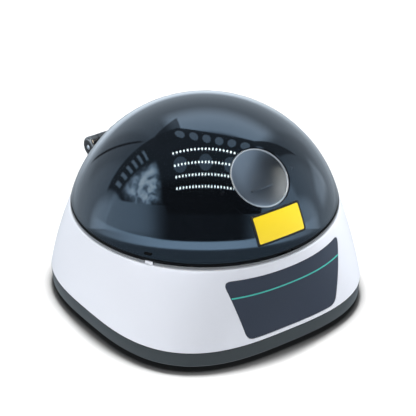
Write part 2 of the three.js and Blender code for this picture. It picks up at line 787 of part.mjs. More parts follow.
// Interlock switch under the flange, held by two pegs of the bowl, and its plunger
const interlockTopZ = flangeUnderZ - clearance;
const interlock = new THREE.Group();
interlock.position.set(...interlockSpot(interlockReach), 0);
interlock.rotation.z = interlockTurn;
base.add(interlock);
let switchBody = block([-interlockDepth / 2, -interlockLength / 2, interlockTopZ - interlockHeight],
  [interlockDepth / 2, interlockLength / 2, interlockTopZ]);
const plungerTopZ = flangeTopZ + plungerProud;
switchBody = switchBody.subtract(post(plungerRadius + clearance, 0, 0, plungerTopZ - plungerLength - clearance,
  interlockTopZ + overrun, tinySides));
for (const side of [-1, 1]) {
  const y = side * interlockPegOffset;
  switchBody = switchBody.subtract(post(interlockPegRadius + clearance, 0, y, catchFootZ - clearance,
    interlockTopZ + overrun, tinySides));
}
interlock.add(piece("interlock_switch", switchBody, blackPlastic));
interlock.add(piece("interlock_plunger", post(plungerRadius, 0, 0, plungerTopZ - plungerLength, plungerTopZ, tinySides),
  sealGrey));

// Hinge bracket: a plate through the housing's rear wall that carries two ears
function hingeBracket() {
  const plateTop = bracketFootZ + bracketThickness;
  let bracket = block([-hingeHalf, bracketInnerY, bracketFootZ], [hingeHalf, bracketLegBack, plateTop]);
  for (const side of [-1, 1]) {
    const [near, far] = [side * (hingeHalf - earWidth), side * hingeHalf].sort((a, b) => a - b);
    bracket = joined(bracket, block([near, bracketLegFront, bracketFootZ], [far, bracketLegBack, hingeZ]),
      barX(hingeRadius, hingeY, hingeZ, near, far, 2 * smallSides));
    bracket = bracket.subtract(post(smallScrewRadius + clearance, side * bracketScrewX, bracketScrewY,
      bracketFootZ - overrun, plateTop + overrun, tinySides));
  }
  return bracket.subtract(barX(hingePinRadius + clearance, hingeY, hingeZ, -hingeHalf - overrun, hingeHalf + overrun));
}
base.add(piece("hinge_bracket", hingeBracket(), blackPlastic));
for (const [side, name] of [[-1, "left"], [1, "right"]]) {
  const seat = bracketFootZ - clearance;
  const screw = joined(post(smallHeadRadius, 0, 0, seat - smallHeadHeight, seat, tinySides),
    post(smallScrewRadius, 0, 0, seat - clearance, flangeUnderZ - clearance, tinySides));
  const mesh = piece(`bracket_screw_${name}`, screw, steel);
  mesh.position.set(side * bracketScrewX, bracketScrewY, 0);
  base.add(mesh);
}
const pinHalf = hingeHalf + hingePinProud;
base.add(piece("hinge_pin", barX(hingePinRadius, hingeY, hingeZ, -pinHalf, pinHalf), steel));

// Torsion spring round the pin: one leg stands on the bracket and the other lifts the lid's arm
function hingeSpring() {
  const [r, half] = [hingeSpringRadius, hingeSpringHalf];
  const seat = bracketFootZ + bracketThickness + clearance + hingeSpringWire / 2 - hingeZ;
  const lift = domeFootZ - hingeSpringWire / 2 - hingeZ;
  const points = [new THREE.Vector3(-half, -hingeSpringFoot, seat)];
  const steps = 8 * hingeSpringTurns;
  for (let i = 0; i <= steps; i++) {
    const turn = (2 * Math.PI * i) / 8;
    const x = lerp(-half, half, i / steps);
    points.push(new THREE.Vector3(x, r * Math.sin(turn), -r * Math.cos(turn)));
  }
  points.push(new THREE.Vector3(half, -hingeSpringKnee, r / 3));
  points.push(new THREE.Vector3(half, -hingeSpringKnee - clearance, lift + hingeSpringWire / 2));
  points.push(new THREE.Vector3(half, -hingeSpringLeg, lift));
  printLeastGap("hinge_spring", points, hingeSpringWire);
  return wire(points, hingeSpringWire / 2, steps + 8, 5);
}
const hingeSpringMesh = piece("hinge_spring", hingeSpring(), springSteel);
hingeSpringMesh.position.set(0, hingeY, hingeZ);
base.add(hingeSpringMesh);

// Motor: a can with a turned boss and a blind bore for its shaft
const motorPlateZ = bowlUnderZ - mountPostDrop - clearance - damperHeight - clearance - plateThickness;
const motorTopZ = motorPlateZ - clearance;
const motor = turned([
  [0, motorFootZ], [motorRadius - motorEdge, motorFootZ], [motorRadius, motorFootZ + motorEdge],
  [motorRadius, motorTopZ - motorEdge], [motorRadius - motorEdge, motorTopZ], [motorBossRadius, motorTopZ],
  [motorBossRadius, motorTopZ + motorBossRise], [shaftRadius + clearance, motorTopZ + motorBossRise],
  [shaftRadius + clearance, motorTopZ - shaftInMotor], [0, motorTopZ - shaftInMotor],
], bowlSides, false);
let motorCan = motor;
for (const side of [-1, 1]) {
  motorCan = motorCan.subtract(post(mountScrewRadius + clearance, side * motorScrewReach, 0,
    motorTopZ - mountPostDrop - clearance, motorTopZ + overrun, tinySides));
}
base.add(piece("drive_motor", motorCan, steel));

// Motor plate, hung from the bowl on three dampers
function motorPlate() {
  const [half, r] = [plateHalf, plateCorner];
  const outline = new THREE.Shape();
  outline.moveTo(-half + r, -half);
  for (const [x0, y0, x1, y1, x2, y2] of [
    [half - r, -half, half, -half, half, -half + r], [half, half - r, half, half, half - r, half],
    [-half + r, half, -half, half, -half, half - r], [-half, -half + r, -half, -half, -half + r, -half],
  ]) {
    outline.lineTo(x0, y0);
    outline.quadraticCurveTo(x1, y1, x2, y2);
  }
  const sheet = new THREE.ExtrudeGeometry(outline, { depth: plateThickness, bevelEnabled: false, curveSegments: 3 });
  let plate = solid(sheet.translate(0, 0, motorPlateZ));
  const top = motorPlateZ + plateThickness + overrun;
  plate = plate.subtract(post(motorBossRadius + clearance, 0, 0, motorPlateZ - overrun, top, 24));
  const holes = [...mountSpots, [-motorScrewReach, 0], [motorScrewReach, 0]];
  for (const [x, y] of holes) {
    plate = plate.subtract(post(mountScrewRadius + clearance, x, y, motorPlateZ - overrun, top, tinySides));
  }
  return plate;
}
base.add(piece("motor_plate", motorPlate(), steel));

// Three rubber dampers with the screws that pass up through them, and two motor screws
mountSpots.forEach(([x, y], i) => {
  const place = Object.keys(mountPlaces)[i];
  const low = motorPlateZ + plateThickness + clearance;
  const damper = piece(`motor_damper_${place}`, turned([
    [mountScrewRadius + clearance, low], [damperRadius, low], [damperRadius, low + damperHeight],
    [mountScrewRadius + clearance, low + damperHeight],
  ]), rubber);
  const seat = motorPlateZ - clearance;
  const screw = piece(`mount_screw_${place}`, joined(
    post(mountHeadRadius, 0, 0, seat - mountHeadHeight, seat, tinySides),
    post(mountScrewRadius, 0, 0, seat - clearance, bowlUnderZ - clearance, tinySides)), steel);
  for (const mesh of [damper, screw]) {
    mesh.position.set(x, y, 0);
    base.add(mesh);
  }
});
for (const [side, name] of [[-1, "left"], [1, "right"]]) {
  const seat = motorPlateZ + plateThickness + clearance;
  const screw = joined(post(mountHeadRadius, 0, 0, seat, seat + mountHeadHeight, tinySides),
    post(mountScrewRadius, 0, 0, motorTopZ - mountPostDrop, seat + clearance, tinySides));
  const mesh = piece(`motor_screw_${name}`, screw, steel);
  mesh.position.set(side * motorScrewReach, 0, 0);
  base.add(mesh);
}

// Control board on the tray's posts, with its tall components
const boardZ = boardTopZ - boardThickness;
let board = block([boardX - boardHalfX, -boardHalfY, boardZ], [boardX + boardHalfX, boardHalfY, boardTopZ]);
for (const [x, y] of boardSpots) {
  board = board.subtract(post(boardPinRadius + clearance, x, y, boardZ - overrun, boardTopZ + overrun, tinySides));
}
base.add(piece("control_board", board, boardGreen));
const onBoardZ = boardTopZ + clearance;
const capacitorY = boardHalfY / 2;
base.add(piece("board_capacitor", post(capacitorRadius, boardX, capacitorY, onBoardZ, onBoardZ + capacitorHeight, 20),
  canBlack));
const terminalX = boardX + boardHalfX - terminalHalf;
base.add(piece("board_terminal", block([terminalX - terminalHalf, -terminalHalf, onBoardZ],
  [terminalX + terminalHalf, terminalHalf, onBoardZ + terminalHeight]), terminalGreen));

// Leads inside the base: motor to terminal, and inlet to terminal
const leadZ = onBoardZ + terminalHeight / 2;
const terminalEdge = terminalX + terminalHalf + 3 * clearance;
const leadDip = motorFootZ + leadRadius + clearance;
base.add(piece("motor_lead", wire([
  new THREE.Vector3(-motorRadius - clearance, 0, leadDip + motorEdge),
  new THREE.Vector3((terminalEdge - motorRadius) / 2, 0, lerp(leadDip, leadZ, leadSagShare)),
  new THREE.Vector3(terminalEdge, 0, leadZ),
], leadRadius, 8, 8), wireRed));
const inletBackY = padFaceY + bezelThickness - inletDepth - clearance;
base.add(piece("inlet_lead", wire([
  new THREE.Vector3(-powerX, inletBackY, powerZ),
  new THREE.Vector3(-powerX, inletBackY - inletDepth / 2, powerZ),
  new THREE.Vector3(-powerX, (inletBackY + terminalHalf) / 2, (leadZ + powerZ) / 2),
  new THREE.Vector3(terminalX, terminalHalf + inletDepth, leadZ),
  new THREE.Vector3(terminalX, terminalHalf + clearance, leadZ),
], leadRadius, 16, 8), wireRed));

// Power inlet: a round barrel socket with a centre pin, held by a hex nut behind the pad
const inletFace = padFaceY + clearance + bezelThickness;
const inlet = joined(
  barY(inletFlangeRadius, 0, 0, padFaceY + clearance, inletFace, 24),
  barY(inletBarrelRadius, 0, 0, inletFace - inletDepth, padFaceY + 2 * clearance, 24),
).subtract(barY(inletBoreRadius, 0, 0, inletFace - inletBoreDepth, inletFace + overrun, 24))
  .add(barY(inletPinRadius, 0, 0, inletFace - inletBoreDepth - clearance, inletFace - bezelThickness, tinySides));
const inletMesh = piece("power_inlet", inlet, blackPlastic);
inletMesh.position.set(-powerX, 0, powerZ);
base.add(inletMesh);
const nutHigh = padInnerY - clearance;
const nut = barY(nutRadius, 0, 0, nutHigh - nutHeight, nutHigh, 6)
  .subtract(barY(inletBarrelRadius + clearance, 0, 0, nutHigh - nutHeight - overrun, nutHigh + overrun, 24));
const nutMesh = piece("inlet_nut", nut, steel);
nutMesh.position.set(-powerX, 0, powerZ);
base.add(nutMesh);

// Power switch: a bezel and box that carry a rocker on two trunnions
const rockerGap = 2 * clearance;
const switchOpenX = rockerHalfWidth + clearance;
const switchOpenZ = rockerHalfHeight + rockerGap;
const bezelY = padFaceY + clearance;
const rockerY = bezelY + bezelThickness - rockerValley;
const switchBack = bezelY + bezelThickness - switchDepth;
const switchBox = cut(
  joined(block([-bezelHalfWidth, bezelY, -bezelHalfHeight], [bezelHalfWidth, bezelY + bezelThickness, bezelHalfHeight]),
    block([-switchOpenX - switchWall, switchBack, -bezelHalfHeight + rockerGap + clearance],
      [switchOpenX + switchWall, bezelY + clearance, bezelHalfHeight - rockerGap - clearance])),
  block([-switchOpenX, rockerY - rockerDepth - rockerRise, -switchOpenZ],
    [switchOpenX, bezelY + bezelThickness + overrun, switchOpenZ]),
  barX(trunnionRadius + clearance, rockerY, 0, -bezelHalfWidth - overrun, bezelHalfWidth + overrun, tinySides));
const switchMesh = piece("power_switch_frame", switchBox, blackPlastic);
switchMesh.position.set(powerX, 0, powerZ);
base.add(switchMesh);

// Rocker: a shallow vee, drawn level and then tipped to its off position
function rocker() {
  const outline = new THREE.Shape();
  outline.moveTo(-rockerHalfHeight, rockerRise);
  outline.lineTo(0, rockerValley);
  outline.lineTo(rockerHalfHeight, rockerRise);
  outline.lineTo(rockerHalfHeight, 0);
  outline.lineTo(rockerHalfHeight / 3, -rockerDepth);
  outline.lineTo(-rockerHalfHeight / 3, -rockerDepth);
  outline.lineTo(-rockerHalfHeight, 0);
  const width = 2 * rockerHalfWidth;
  const prism = new THREE.ExtrudeGeometry(outline, { depth: width, bevelEnabled: false });
  // The outline's first axis becomes +Z and its second +Y
  prism.applyMatrix4(new THREE.Matrix4().makeBasis(
    new THREE.Vector3(0, 0, 1), new THREE.Vector3(0, 1, 0), new THREE.Vector3(-1, 0, 0)));
  const body = solid(prism.translate(rockerHalfWidth, 0, 0));
  const reach = switchOpenX + switchWall;
  return body.add(barX(trunnionRadius, 0, 0, -reach, reach, tinySides));
}
const rockerMesh = piece("power_rocker", rocker(), blackPlastic);
rockerMesh.position.set(powerX, rockerY, powerZ);
rockerMesh.rotation.x = rockerThrow * degrees;
base.add(rockerMesh);

// Dome lid: a shell of a sphere with a sleeve for the button and two carrier bosses
const sleeveTop = Math.sqrt(domeRadius ** 2 - (buttonRadius + clearance) ** 2);
const sleeveFoot = sleeveTop - sleeveDepth;

// A bar of the arm screws, which point straight out from the dome's centre to one side
function armBar(radius, side, near, far) {
  return post(radius, 0, 0, near, far, tinySides).rotate([-armScrewLean, 0, 0])
    .rotate([0, 0, -side * armScrewSpread]).translate([0, 0, domeCentreZ]);
}

function domeShell() {
  const [out, inside] = [[], []];
  const rim = (radius) => Math.acos((domeFootZ - domeCentreZ) / radius);
  for (let row = 0; row <= domeRows; row++) {
    const [a, b] = [(row / domeRows) * rim(domeRadius), (row / domeRows) * rim(domeInner)];
    out.push([domeRadius * Math.sin(a), domeCentreZ + domeRadius * Math.cos(a)]);
    inside.push([domeInner * Math.sin(b), domeCentreZ + domeInner * Math.cos(b)]);
  }
  return turned([...out, ...inside.reverse()], roundSides, false);
}

function domeLid() {
  let dome = domeShell();
  const boss = (x) => post(carrierBossRadius, x, 0, sleeveFoot, Math.sqrt(domeInner ** 2 - x ** 2) + clearance, tinySides);
  const sleeve = post(sleeveOuter, 0, 0, sleeveFoot, Math.sqrt(domeRadius ** 2 - sleeveOuter ** 2) - clearance, 32);
  dome = joined(dome, pressTurn(sleeve), pressTurn(boss(-carrierEarReach)), pressTurn(boss(carrierEarReach)));
  dome = dome.subtract(pressTurn(post(buttonRadius + clearance, 0, 0, sleeveFoot - overrun, domeRadius + overrun, 32)));
  for (const x of [-carrierEarReach, carrierEarReach]) {
    dome = dome.subtract(pressTurn(post(carrierScrewRadius + clearance, x, 0, sleeveFoot - overrun,
      sleeveFoot + carrierScrewBite + clearance, tinySides)));
  }
  for (const side of [-1, 1]) {
    dome = dome.subtract(armBar(armScrewRadius + clearance, side, domeInner - overrun, domeRadius + overrun));
  }
  return dome;
}
const domeMesh = piece("dome_lid", domeLid(), smokedPlastic);
domeMesh.position.z = -domeCentreZ;
lid.add(domeMesh);

// Sticker: a thin plain patch that follows the dome
const sticker = domeBall(domeRadius + clearance + stickerThickness)
  .subtract(domeBall(domeRadius + clearance))
  .intersect(block([-stickerHalfWidth, -stickerHalfHeight, 0], [stickerHalfWidth, stickerHalfHeight, domeCentreZ + domeRadius])
    .rotate([stickerLean, 0, 0]).translate([0, 0, domeCentreZ]));
const stickerMesh = piece("dome_sticker", sticker, stickerYellow);
stickerMesh.position.z = -domeCentreZ;
lid.add(stickerMesh);

// Press button: a dished cap with a skirt and a stem
const buttonTop = sleeveTop - buttonSet;
const dishZ = buttonTop - buttonDish;
const underZ = dishZ - buttonSkin;
const carrierTop = sleeveFoot - clearance;
const carrierFoot = carrierTop - carrierThickness;
const stemFoot = carrierFoot - clearance - stemTip;

function pressButton() {
  const lipInner = buttonRadius - buttonLip;
  const skirtInner = buttonRadius - buttonSkirtWall;
  const lipZ = buttonTop - buttonLipDrop;
  const dish = [];
  for (let i = 0; i <= 4; i++) dish.push([lipInner * (1 - i / 4), lerp(dishZ, lipZ, (1 - i / 4) ** 2)]);
  return turned([
    [0, stemFoot], [stemTipRadius, stemFoot], [stemTipRadius, stemFoot + stemTip], [stemRadius, stemFoot + stemTip],
    [stemRadius, underZ], [skirtInner, underZ + buttonLip], [skirtInner, buttonTop - buttonSkirt],
    [buttonRadius, buttonTop - buttonSkirt], [buttonRadius, buttonTop - buttonLipDrop],
    [buttonRadius - buttonLip / 2, buttonTop], ...dish,
  ], 32, false);
}
press.add(piece("press_button", pressButton(), smokedButton));

// Button spring between the carrier and the button
function buttonSpring() {
  const low = carrierTop + buttonSpringWire / 2 + clearance;
  const high = underZ - buttonSpringWire / 2 - clearance;
  const steps = 8 * buttonSpringTurns;
  const points = Array.from({ length: steps + 1 }, (_, i) => {
    const turn = (2 * Math.PI * i) / 8;
    const [c, s] = [Math.cos(turn), Math.sin(turn)];
    return new THREE.Vector3(buttonSpringRadius * c, buttonSpringRadius * s, lerp(low, high, i / steps));
  });
  printLeastGap("button_spring", points, buttonSpringWire);
  return wire(points, buttonSpringWire / 2, steps, 5);
}
press.add(piece("button_spring", buttonSpring(), springSteel));

// Latch carrier: a disc under the sleeve with two ears and two cheeks for the lever's pin
const pivotY = -leverArm;
const pivotZ = carrierFoot - leverDrop + leverBar / 2;
const cheekInner = leverHalfWidth + clearance;

function latchCarrier() {
  let carrier = post(sleeveOuter, 0, 0, carrierFoot, carrierTop, 32);
  for (const side of [-1, 1]) {
    carrier = carrier.add(post(carrierEarRadius, side * carrierEarReach, 0, carrierFoot, carrierTop));
    const [near, far] = [side * cheekInner, side * (cheekInner + cheekThickness)].sort((a, b) => a - b);
    carrier = carrier.add(block([near, pivotY - cheekHalfLength, pivotZ - leverBossRadius],
      [far, pivotY + cheekHalfLength, carrierFoot + clearance]));
    carrier = carrier.subtract(post(carrierScrewRadius + clearance, side * carrierEarReach, 0,
      carrierFoot - overrun, carrierTop + overrun, tinySides));
  }
  const width = cheekInner + cheekThickness + overrun;
  return cut(carrier, post(stemRadius + clearance, 0, 0, carrierFoot - overrun, carrierTop + overrun),
    barX(leverPinRadius + clearance, pivotY, pivotZ, -width, width, tinySides));
}
press.add(piece("latch_carrier", latchCarrier(), blackPlastic));
for (const [side, name] of [[-1, "left"], [1, "right"]]) {
  const seat = carrierFoot - clearance;
  const screw = joined(post(carrierHeadRadius, 0, 0, seat - carrierHeadHeight, seat, tinySides),
    post(carrierScrewRadius, 0, 0, seat - clearance, sleeveFoot + carrierScrewBite, tinySides));
  const mesh = piece(`carrier_screw_${name}`, screw, steel);
  mesh.position.x = side * carrierEarReach;
  press.add(mesh);
}
const leverPinHalf = cheekInner + cheekThickness;
press.add(piece("lever_pin", barX(leverPinRadius, pivotY, pivotZ, -leverPinHalf, leverPinHalf, tinySides), steel));

// Latch lever: an arm under the stem, a knee down inside the dome and a hook under the catch
const lean = buttonLean * degrees;
const pivotAt = [
  pivotY * Math.cos(lean) - pivotZ * Math.sin(lean), pivotY * Math.sin(lean) + pivotZ * Math.cos(lean),
];

// A flat bar between two places in the YZ plane
function leverBarBetween([y0, z0], [y1, z1], thickness) {
  const length = Math.hypot(y1 - y0, z1 - z0);
  const bar = new THREE.BoxGeometry(2 * leverHalfWidth, length + thickness / 2, thickness);
  bar.rotateX(Math.atan2(z1 - z0, y1 - y0));
  return solid(bar.translate(0, (y0 + y1) / 2, (z0 + z1) / 2));
}

function latchLever() {
  const padZ = stemFoot - clearance - leverBar / 2;
  const pad = [leverBar, padZ];
  const padAt = [pad[0] * Math.cos(lean) - pad[1] * Math.sin(lean), pad[0] * Math.sin(lean) + pad[1] * Math.cos(lean)];
  const knee = [-hookReach, leverKneeZ - domeCentreZ];
  const foot = hookFootZ - domeCentreZ;
  const [outer, inner] = [-hookReach - hookBar / 2, -hookReach + hookBar / 2];
  const outline = new THREE.Shape([
    [outer, foot], [inner + hookTooth, foot], [inner + hookTooth, foot + hookTipHeight],
    [inner, foot + hookRootHeight], [inner, knee[1]], [outer, knee[1]],
  ].map(([y, z]) => new THREE.Vector2(y, z)));
  const prism = new THREE.ExtrudeGeometry(outline, { depth: 2 * leverHalfWidth, bevelEnabled: false });
  // The outline's first axis becomes +Y and its second +Z
  prism.applyMatrix4(new THREE.Matrix4().makeBasis(
    new THREE.Vector3(0, 1, 0), new THREE.Vector3(0, 0, 1), new THREE.Vector3(1, 0, 0)));
  const hook = solid(prism.translate(-leverHalfWidth, 0, 0));
  const lever = joined(leverBarBetween(pivotAt, padAt, leverBar), leverBarBetween(pivotAt, knee, leverBar), hook,
    barX(leverBossRadius, ...pivotAt, -leverHalfWidth, leverHalfWidth));
  return lever.subtract(barX(leverPinRadius + clearance, ...pivotAt, -leverHalfWidth - overrun, leverHalfWidth + overrun,
    tinySides));
}
lid.add(piece("latch_lever", latchLever(), blackPlastic));

// Lid hinge arm: a pad that hugs the dome's back, two ribs and two knuckles on the pin
function hingeArm() {
  const armHalf = hingeHalf - earWidth - clearance;
  const padFootZ = domeFootZ + clearance;
  let arm = domeBall(domeRadius + clearance + armPad)
    .intersect(block([-armHalf, 0, padFootZ], [armHalf, domeRadius + armPad + overrun, armPadTop]));
  const knuckleEnds = [[-armHalf, -knuckleInner], [knuckleInner, armHalf]];
  for (const [near, far] of knuckleEnds) {
    arm = joined(arm, block([near, housingTopRadius - armPad, padFootZ], [far, hingeY, hingeZ + hingeRadius]),
      barX(hingeRadius, hingeY, hingeZ, near, far, 2 * smallSides));
  }
  arm = arm.subtract(domeBall(domeRadius + clearance));
  arm = arm.subtract(block([-armHalf - overrun, 0, 0], [armHalf + overrun, housingTopRadius + clearance, padFootZ]));
  arm = arm.subtract(barX(hingePinRadius + clearance, hingeY, hingeZ, -armHalf - overrun, armHalf + overrun));
  for (const side of [-1, 1]) {
    arm = arm.subtract(armBar(armScrewRadius + clearance, side, domeRadius, domeRadius + armPad - armScrewSkin));
  }
  return arm;
}
const armMesh = piece("lid_hinge_arm", hingeArm(), blackPlastic);
armMesh.position.z = -domeCentreZ;
lid.add(armMesh);

// Arm screws, driven from inside the dome out into the arm's pad
for (const [side, name] of [[-1, "left"], [1, "right"]]) {
  const seat = domeInner - 2 * clearance;
  const screw = joined(armBar(armHeadRadius, side, seat - armHeadHeight, seat),
    armBar(armScrewRadius, side, seat - clearance, domeRadius + armPad - armScrewSkin - clearance));
  const mesh = piece(`arm_screw_${name}`, screw, steel);
  mesh.position.z = -domeCentreZ;
  lid.add(mesh);
}

// Interlock striker: a peg inside the dome's rim, over the plunger
const strikerFootZ = plungerTopZ + clearance;
let striker = block([strikerInner, -strikerWidth / 2, strikerFootZ],
  [domeRadius, strikerWidth / 2, strikerFootZ + strikerHeight]).rotate([0, 0, interlockAngle]);
striker = striker.intersect(domeBall(domeInner - clearance));
const strikerMesh = piece("interlock_striker", striker, blackPlastic);
strikerMesh.position.z = -domeCentreZ;
lid.add(strikerMesh);

// Motor shaft
const hubFootZ = rotorWebZ - hubDrop;
const shaftTop = rotorWebZ + collarRise;
const shaftFoot = motorTopZ - shaftInMotor + clearance;
spinning.add(piece("motor_shaft", post(shaftRadius, 0, 0, shaftFoot, shaftTop), steel));

// Drive collar: the brass sleeve on the shaft that the rotor drops over
spinning.add(piece("drive_collar", turned([
  [shaftRadius + clearance, hubFootZ - clearance], [hubRadius, hubFootZ - clearance - collarRise],
  [hubRadius, hubFootZ - clearance], [collarRadius, hubFootZ - clearance], [collarRadius, shaftTop],
  [shaftRadius + clearance, shaftTop],
], 24), brass));

// Rotor: a hub, a web and a cone whose sockets hold the tubes square to its wall
function rotorBody() {
  const slant = rotorWall * Math.SQRT1_2;
  const coneTop = rotorWebZ + rotorConeOuter - rotorConeInner;
  let rotor = turned([
    [hubBore, hubFootZ], [hubRadius, hubFootZ], [hubRadius, rotorWebZ - slant],
    [rotorConeInner + slant, rotorWebZ - slant], [rotorConeOuter + slant, coneTop - slant],
    [rotorRimRadius, coneTop], [rotorRimRadius, coneTop + rotorRimHeight],
    [rotorRimRadius - rotorRimWidth, coneTop + rotorRimHeight], [rotorConeOuter, coneTop],
    [rotorConeInner, rotorWebZ], [hubBore, rotorWebZ],
  ], bowlSides);
  const socketZ = rotorWebZ + socketReach - rotorConeInner;
  for (let i = 0; i < socketCount; i++) {
    const drill = new THREE.CylinderGeometry(socketRadius, socketRadius, 4 * rotorWall, 10);
    drill.rotateZ(45 * degrees).rotateX(Math.PI / 2).translate(socketReach, 0, socketZ);
    rotor = rotor.subtract(solid(drill.rotateZ((2 * Math.PI * i) / socketCount)));
  }
  return rotor;
}
spinning.add(piece("tube_rotor", rotorBody(), rotorBlue));

// Rotor knob: a fluted nut that clamps the rotor to the collar
function rotorKnob() {
  const low = rotorWebZ + clearance;
  let knob = turned([
    [0, shaftTop + clearance], [collarRadius + clearance, shaftTop + clearance], [collarRadius + clearance, low],
    [knobRadius, low], [knobRadius, low + knobHeight - knobEdge], [knobRadius - knobEdge, low + knobHeight],
    [0, low + knobHeight],
  ], 24, false);
  for (let i = 0; i < knobFluteCount; i++) {
    const turn = ((2 * i + 1) * Math.PI) / knobFluteCount;
    knob = knob.subtract(post(knobFlute, (knobRadius + knobFlute / 2) * Math.cos(turn),
      (knobRadius + knobFlute / 2) * Math.sin(turn), low + 2 * knobEdge, low + knobHeight + overrun, 8));
  }
  return knob;
}
spinning.add(piece("rotor_knob", rotorKnob(), blackPlastic));

export default centrifuge;
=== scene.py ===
import math

import bmesh
import bpy
from mathutils import Matrix, Vector


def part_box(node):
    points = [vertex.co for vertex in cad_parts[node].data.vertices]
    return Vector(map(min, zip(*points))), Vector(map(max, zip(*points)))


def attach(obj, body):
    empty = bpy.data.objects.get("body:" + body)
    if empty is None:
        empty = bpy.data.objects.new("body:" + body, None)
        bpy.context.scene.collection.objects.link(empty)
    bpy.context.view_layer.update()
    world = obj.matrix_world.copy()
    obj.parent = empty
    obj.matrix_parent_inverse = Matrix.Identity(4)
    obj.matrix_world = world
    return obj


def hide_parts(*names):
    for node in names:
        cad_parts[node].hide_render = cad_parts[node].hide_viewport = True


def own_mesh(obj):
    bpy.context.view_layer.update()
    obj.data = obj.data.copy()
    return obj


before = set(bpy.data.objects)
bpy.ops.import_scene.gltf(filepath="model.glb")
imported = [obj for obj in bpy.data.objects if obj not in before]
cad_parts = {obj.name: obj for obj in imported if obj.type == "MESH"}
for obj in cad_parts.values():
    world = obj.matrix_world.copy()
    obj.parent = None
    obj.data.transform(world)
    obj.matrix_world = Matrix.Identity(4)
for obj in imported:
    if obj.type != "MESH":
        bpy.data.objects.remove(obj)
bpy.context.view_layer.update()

# The view
# A long lens stands off the instrument's front left corner, a little above it, and looks
# down on the lid. Every place is measured from the rotor's upright axis.
mm = 0.001
rotor_y = sum(corner[1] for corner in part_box("motor_shaft")) / 2
to_axis = Matrix.Translation((0, rotor_y, 0))
camera_spot = Vector((-528.30 * mm, rotor_y - 745.99 * mm, 584.68 * mm))
camera_turn = math.radians(35.418)
camera_dip = math.radians(30.2856)
lens_in_pixels, picture_width, sensor = 1885.06, 416, 36

sight = Vector((
    math.cos(camera_dip) * math.sin(camera_turn),
    math.cos(camera_dip) * math.cos(camera_turn),
    -math.sin(camera_dip),
))
camera = bpy.data.objects.new("camera", bpy.data.cameras.new("camera"))
camera.data.sensor_width = sensor
camera.data.lens = sensor * lens_in_pixels / picture_width
camera.data.clip_start = 10 * mm
camera.location = camera_spot
camera.rotation_euler = sight.to_track_quat("-Z", "Y").to_euler()
bpy.context.collection.objects.link(camera)
bpy.context.scene.camera = camera

# Bottom tray
# A pan moulded in dark grey plastic with a finely grained skin. Its lower edge is chamfered
# and catches the light. Feet press up into its pockets and four screws pass through it.
tray_low, tray_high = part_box("bottom_tray")
clearance = 0.3 * mm
tray_half = tray_high[0]
tray_power = 2.94
tray_foot = tray_low[2]
tray_top = tray_foot + 9.1 * mm
tray_lean = 0.5 * mm
tray_chamfer = 1.1 * mm
tray_wall = 2.5 * mm
lip_inset, lip_wall = 3.4 * mm, 1.6 * mm
foot_bed, foot_way, foot_way_top = 1 * mm, 2.7 * mm, 4 * mm
screw_boss, screw_head_way, screw_way = 5 * mm, 3.2 * mm, 1.7 * mm
boss_low, boss_high, screw_head_top, screw_way_top = 1 * mm, 6 * mm, 3 * mm, 9 * mm


def rounded_square(half, power, z, steps=192):
    """Points round a square whose sides bulge into its corners."""
    points = []
    for i in range(steps):
        turn = 2 * math.pi * i / steps
        c, s = math.cos(turn), math.sin(turn)
        reach = half / (abs(c) ** power + abs(s) ** power) ** (1 / power)
        points.append(Vector((reach * c, rotor_y + reach * s, z)))
    return points


def keep(name, shape):
    """Turns a bmesh into a piece that stands where its points are."""
    bmesh.ops.recalc_face_normals(shape, faces=shape.faces)
    mesh = bpy.data.meshes.new(name)
    shape.to_mesh(mesh)
    shape.free()
    piece = bpy.data.objects.new(name, mesh)
    bpy.context.collection.objects.link(piece)
    return piece


def skinned(name, rings, ends=True):
    """A skin over rings of points, with its ends closed or its last ring joined to its first."""
    shape = bmesh.new()
    rows = [[shape.verts.new(point) for point in ring] for ring in rings]
    pairs = list(zip(rows, rows[1:] if ends else rows[1:] + rows[:1]))
    for low, high in pairs:
        for i in range(len(low)):
            j = (i + 1) % len(low)
            shape.faces.new((low[i], low[j], high[j], high[i]))
    if ends:
        shape.faces.new(rows[0])
        shape.faces.new(rows[-1])
    return keep(name, shape)


def turned(name, profile, sides=96):
    """Spins pairs of radius and height about +Z, as on a lathe."""
    shape = bmesh.new()
    rows = []
    for radius, z in profile:
        count = sides if radius > 0 else 1
        turns = [2 * math.pi * i / sides for i in range(count)]
        rows.append([shape.verts.new((radius * math.cos(t), radius * math.sin(t), z)) for t in turns])
    solid_end = profile[0][0] == 0 and profile[-1][0] == 0
    for low, high in zip(rows, rows[1:] if solid_end else rows[1:] + rows[:1]):
        for i in range(sides):
            j = i + 1
            four = (low[i % len(low)], low[j % len(low)], high[j % len(high)], high[i % len(high)])
            different = list(dict.fromkeys(four))
            if len(different) > 2:
                shape.faces.new(different)
    return keep(name, shape)


def block(name, low, high):
    """A squared block between two corners."""
    shape = bmesh.new()
    bmesh.ops.create_cube(shape, size=1)
    size = Vector(high) - Vector(low)
    place = Matrix.Translation((Vector(high) + Vector(low)) / 2) @ Matrix.Diagonal((*size, 1))
    bmesh.ops.transform(shape, matrix=place, verts=shape.verts)
    return keep(name, shape)


def bar(radius, low, high, sides=48):
    """A plain upright bar, used to drill and to build up other pieces."""
    return turned("bar", [(0, low), (radius, low), (radius, high), (0, high)], sides)


def moved(piece, matrix):
    """Shifts or turns a piece's points."""
    piece.data.transform(matrix)
    return piece


def post(spot, radius, low, high, sides=48):
    """An upright bar over a spot."""
    return moved(bar(radius, low, high, sides), Matrix.Translation((spot.x, spot.y, 0)))


def settle(piece):
    """Fixes a piece's modifiers into its mesh."""
    bpy.context.view_layer.update()
    mesh = bpy.data.meshes.new_from_object(piece.evaluated_get(bpy.context.evaluated_depsgraph_get()))
    piece.modifiers.clear()
    old, piece.data = piece.data, mesh
    bpy.data.meshes.remove(old)


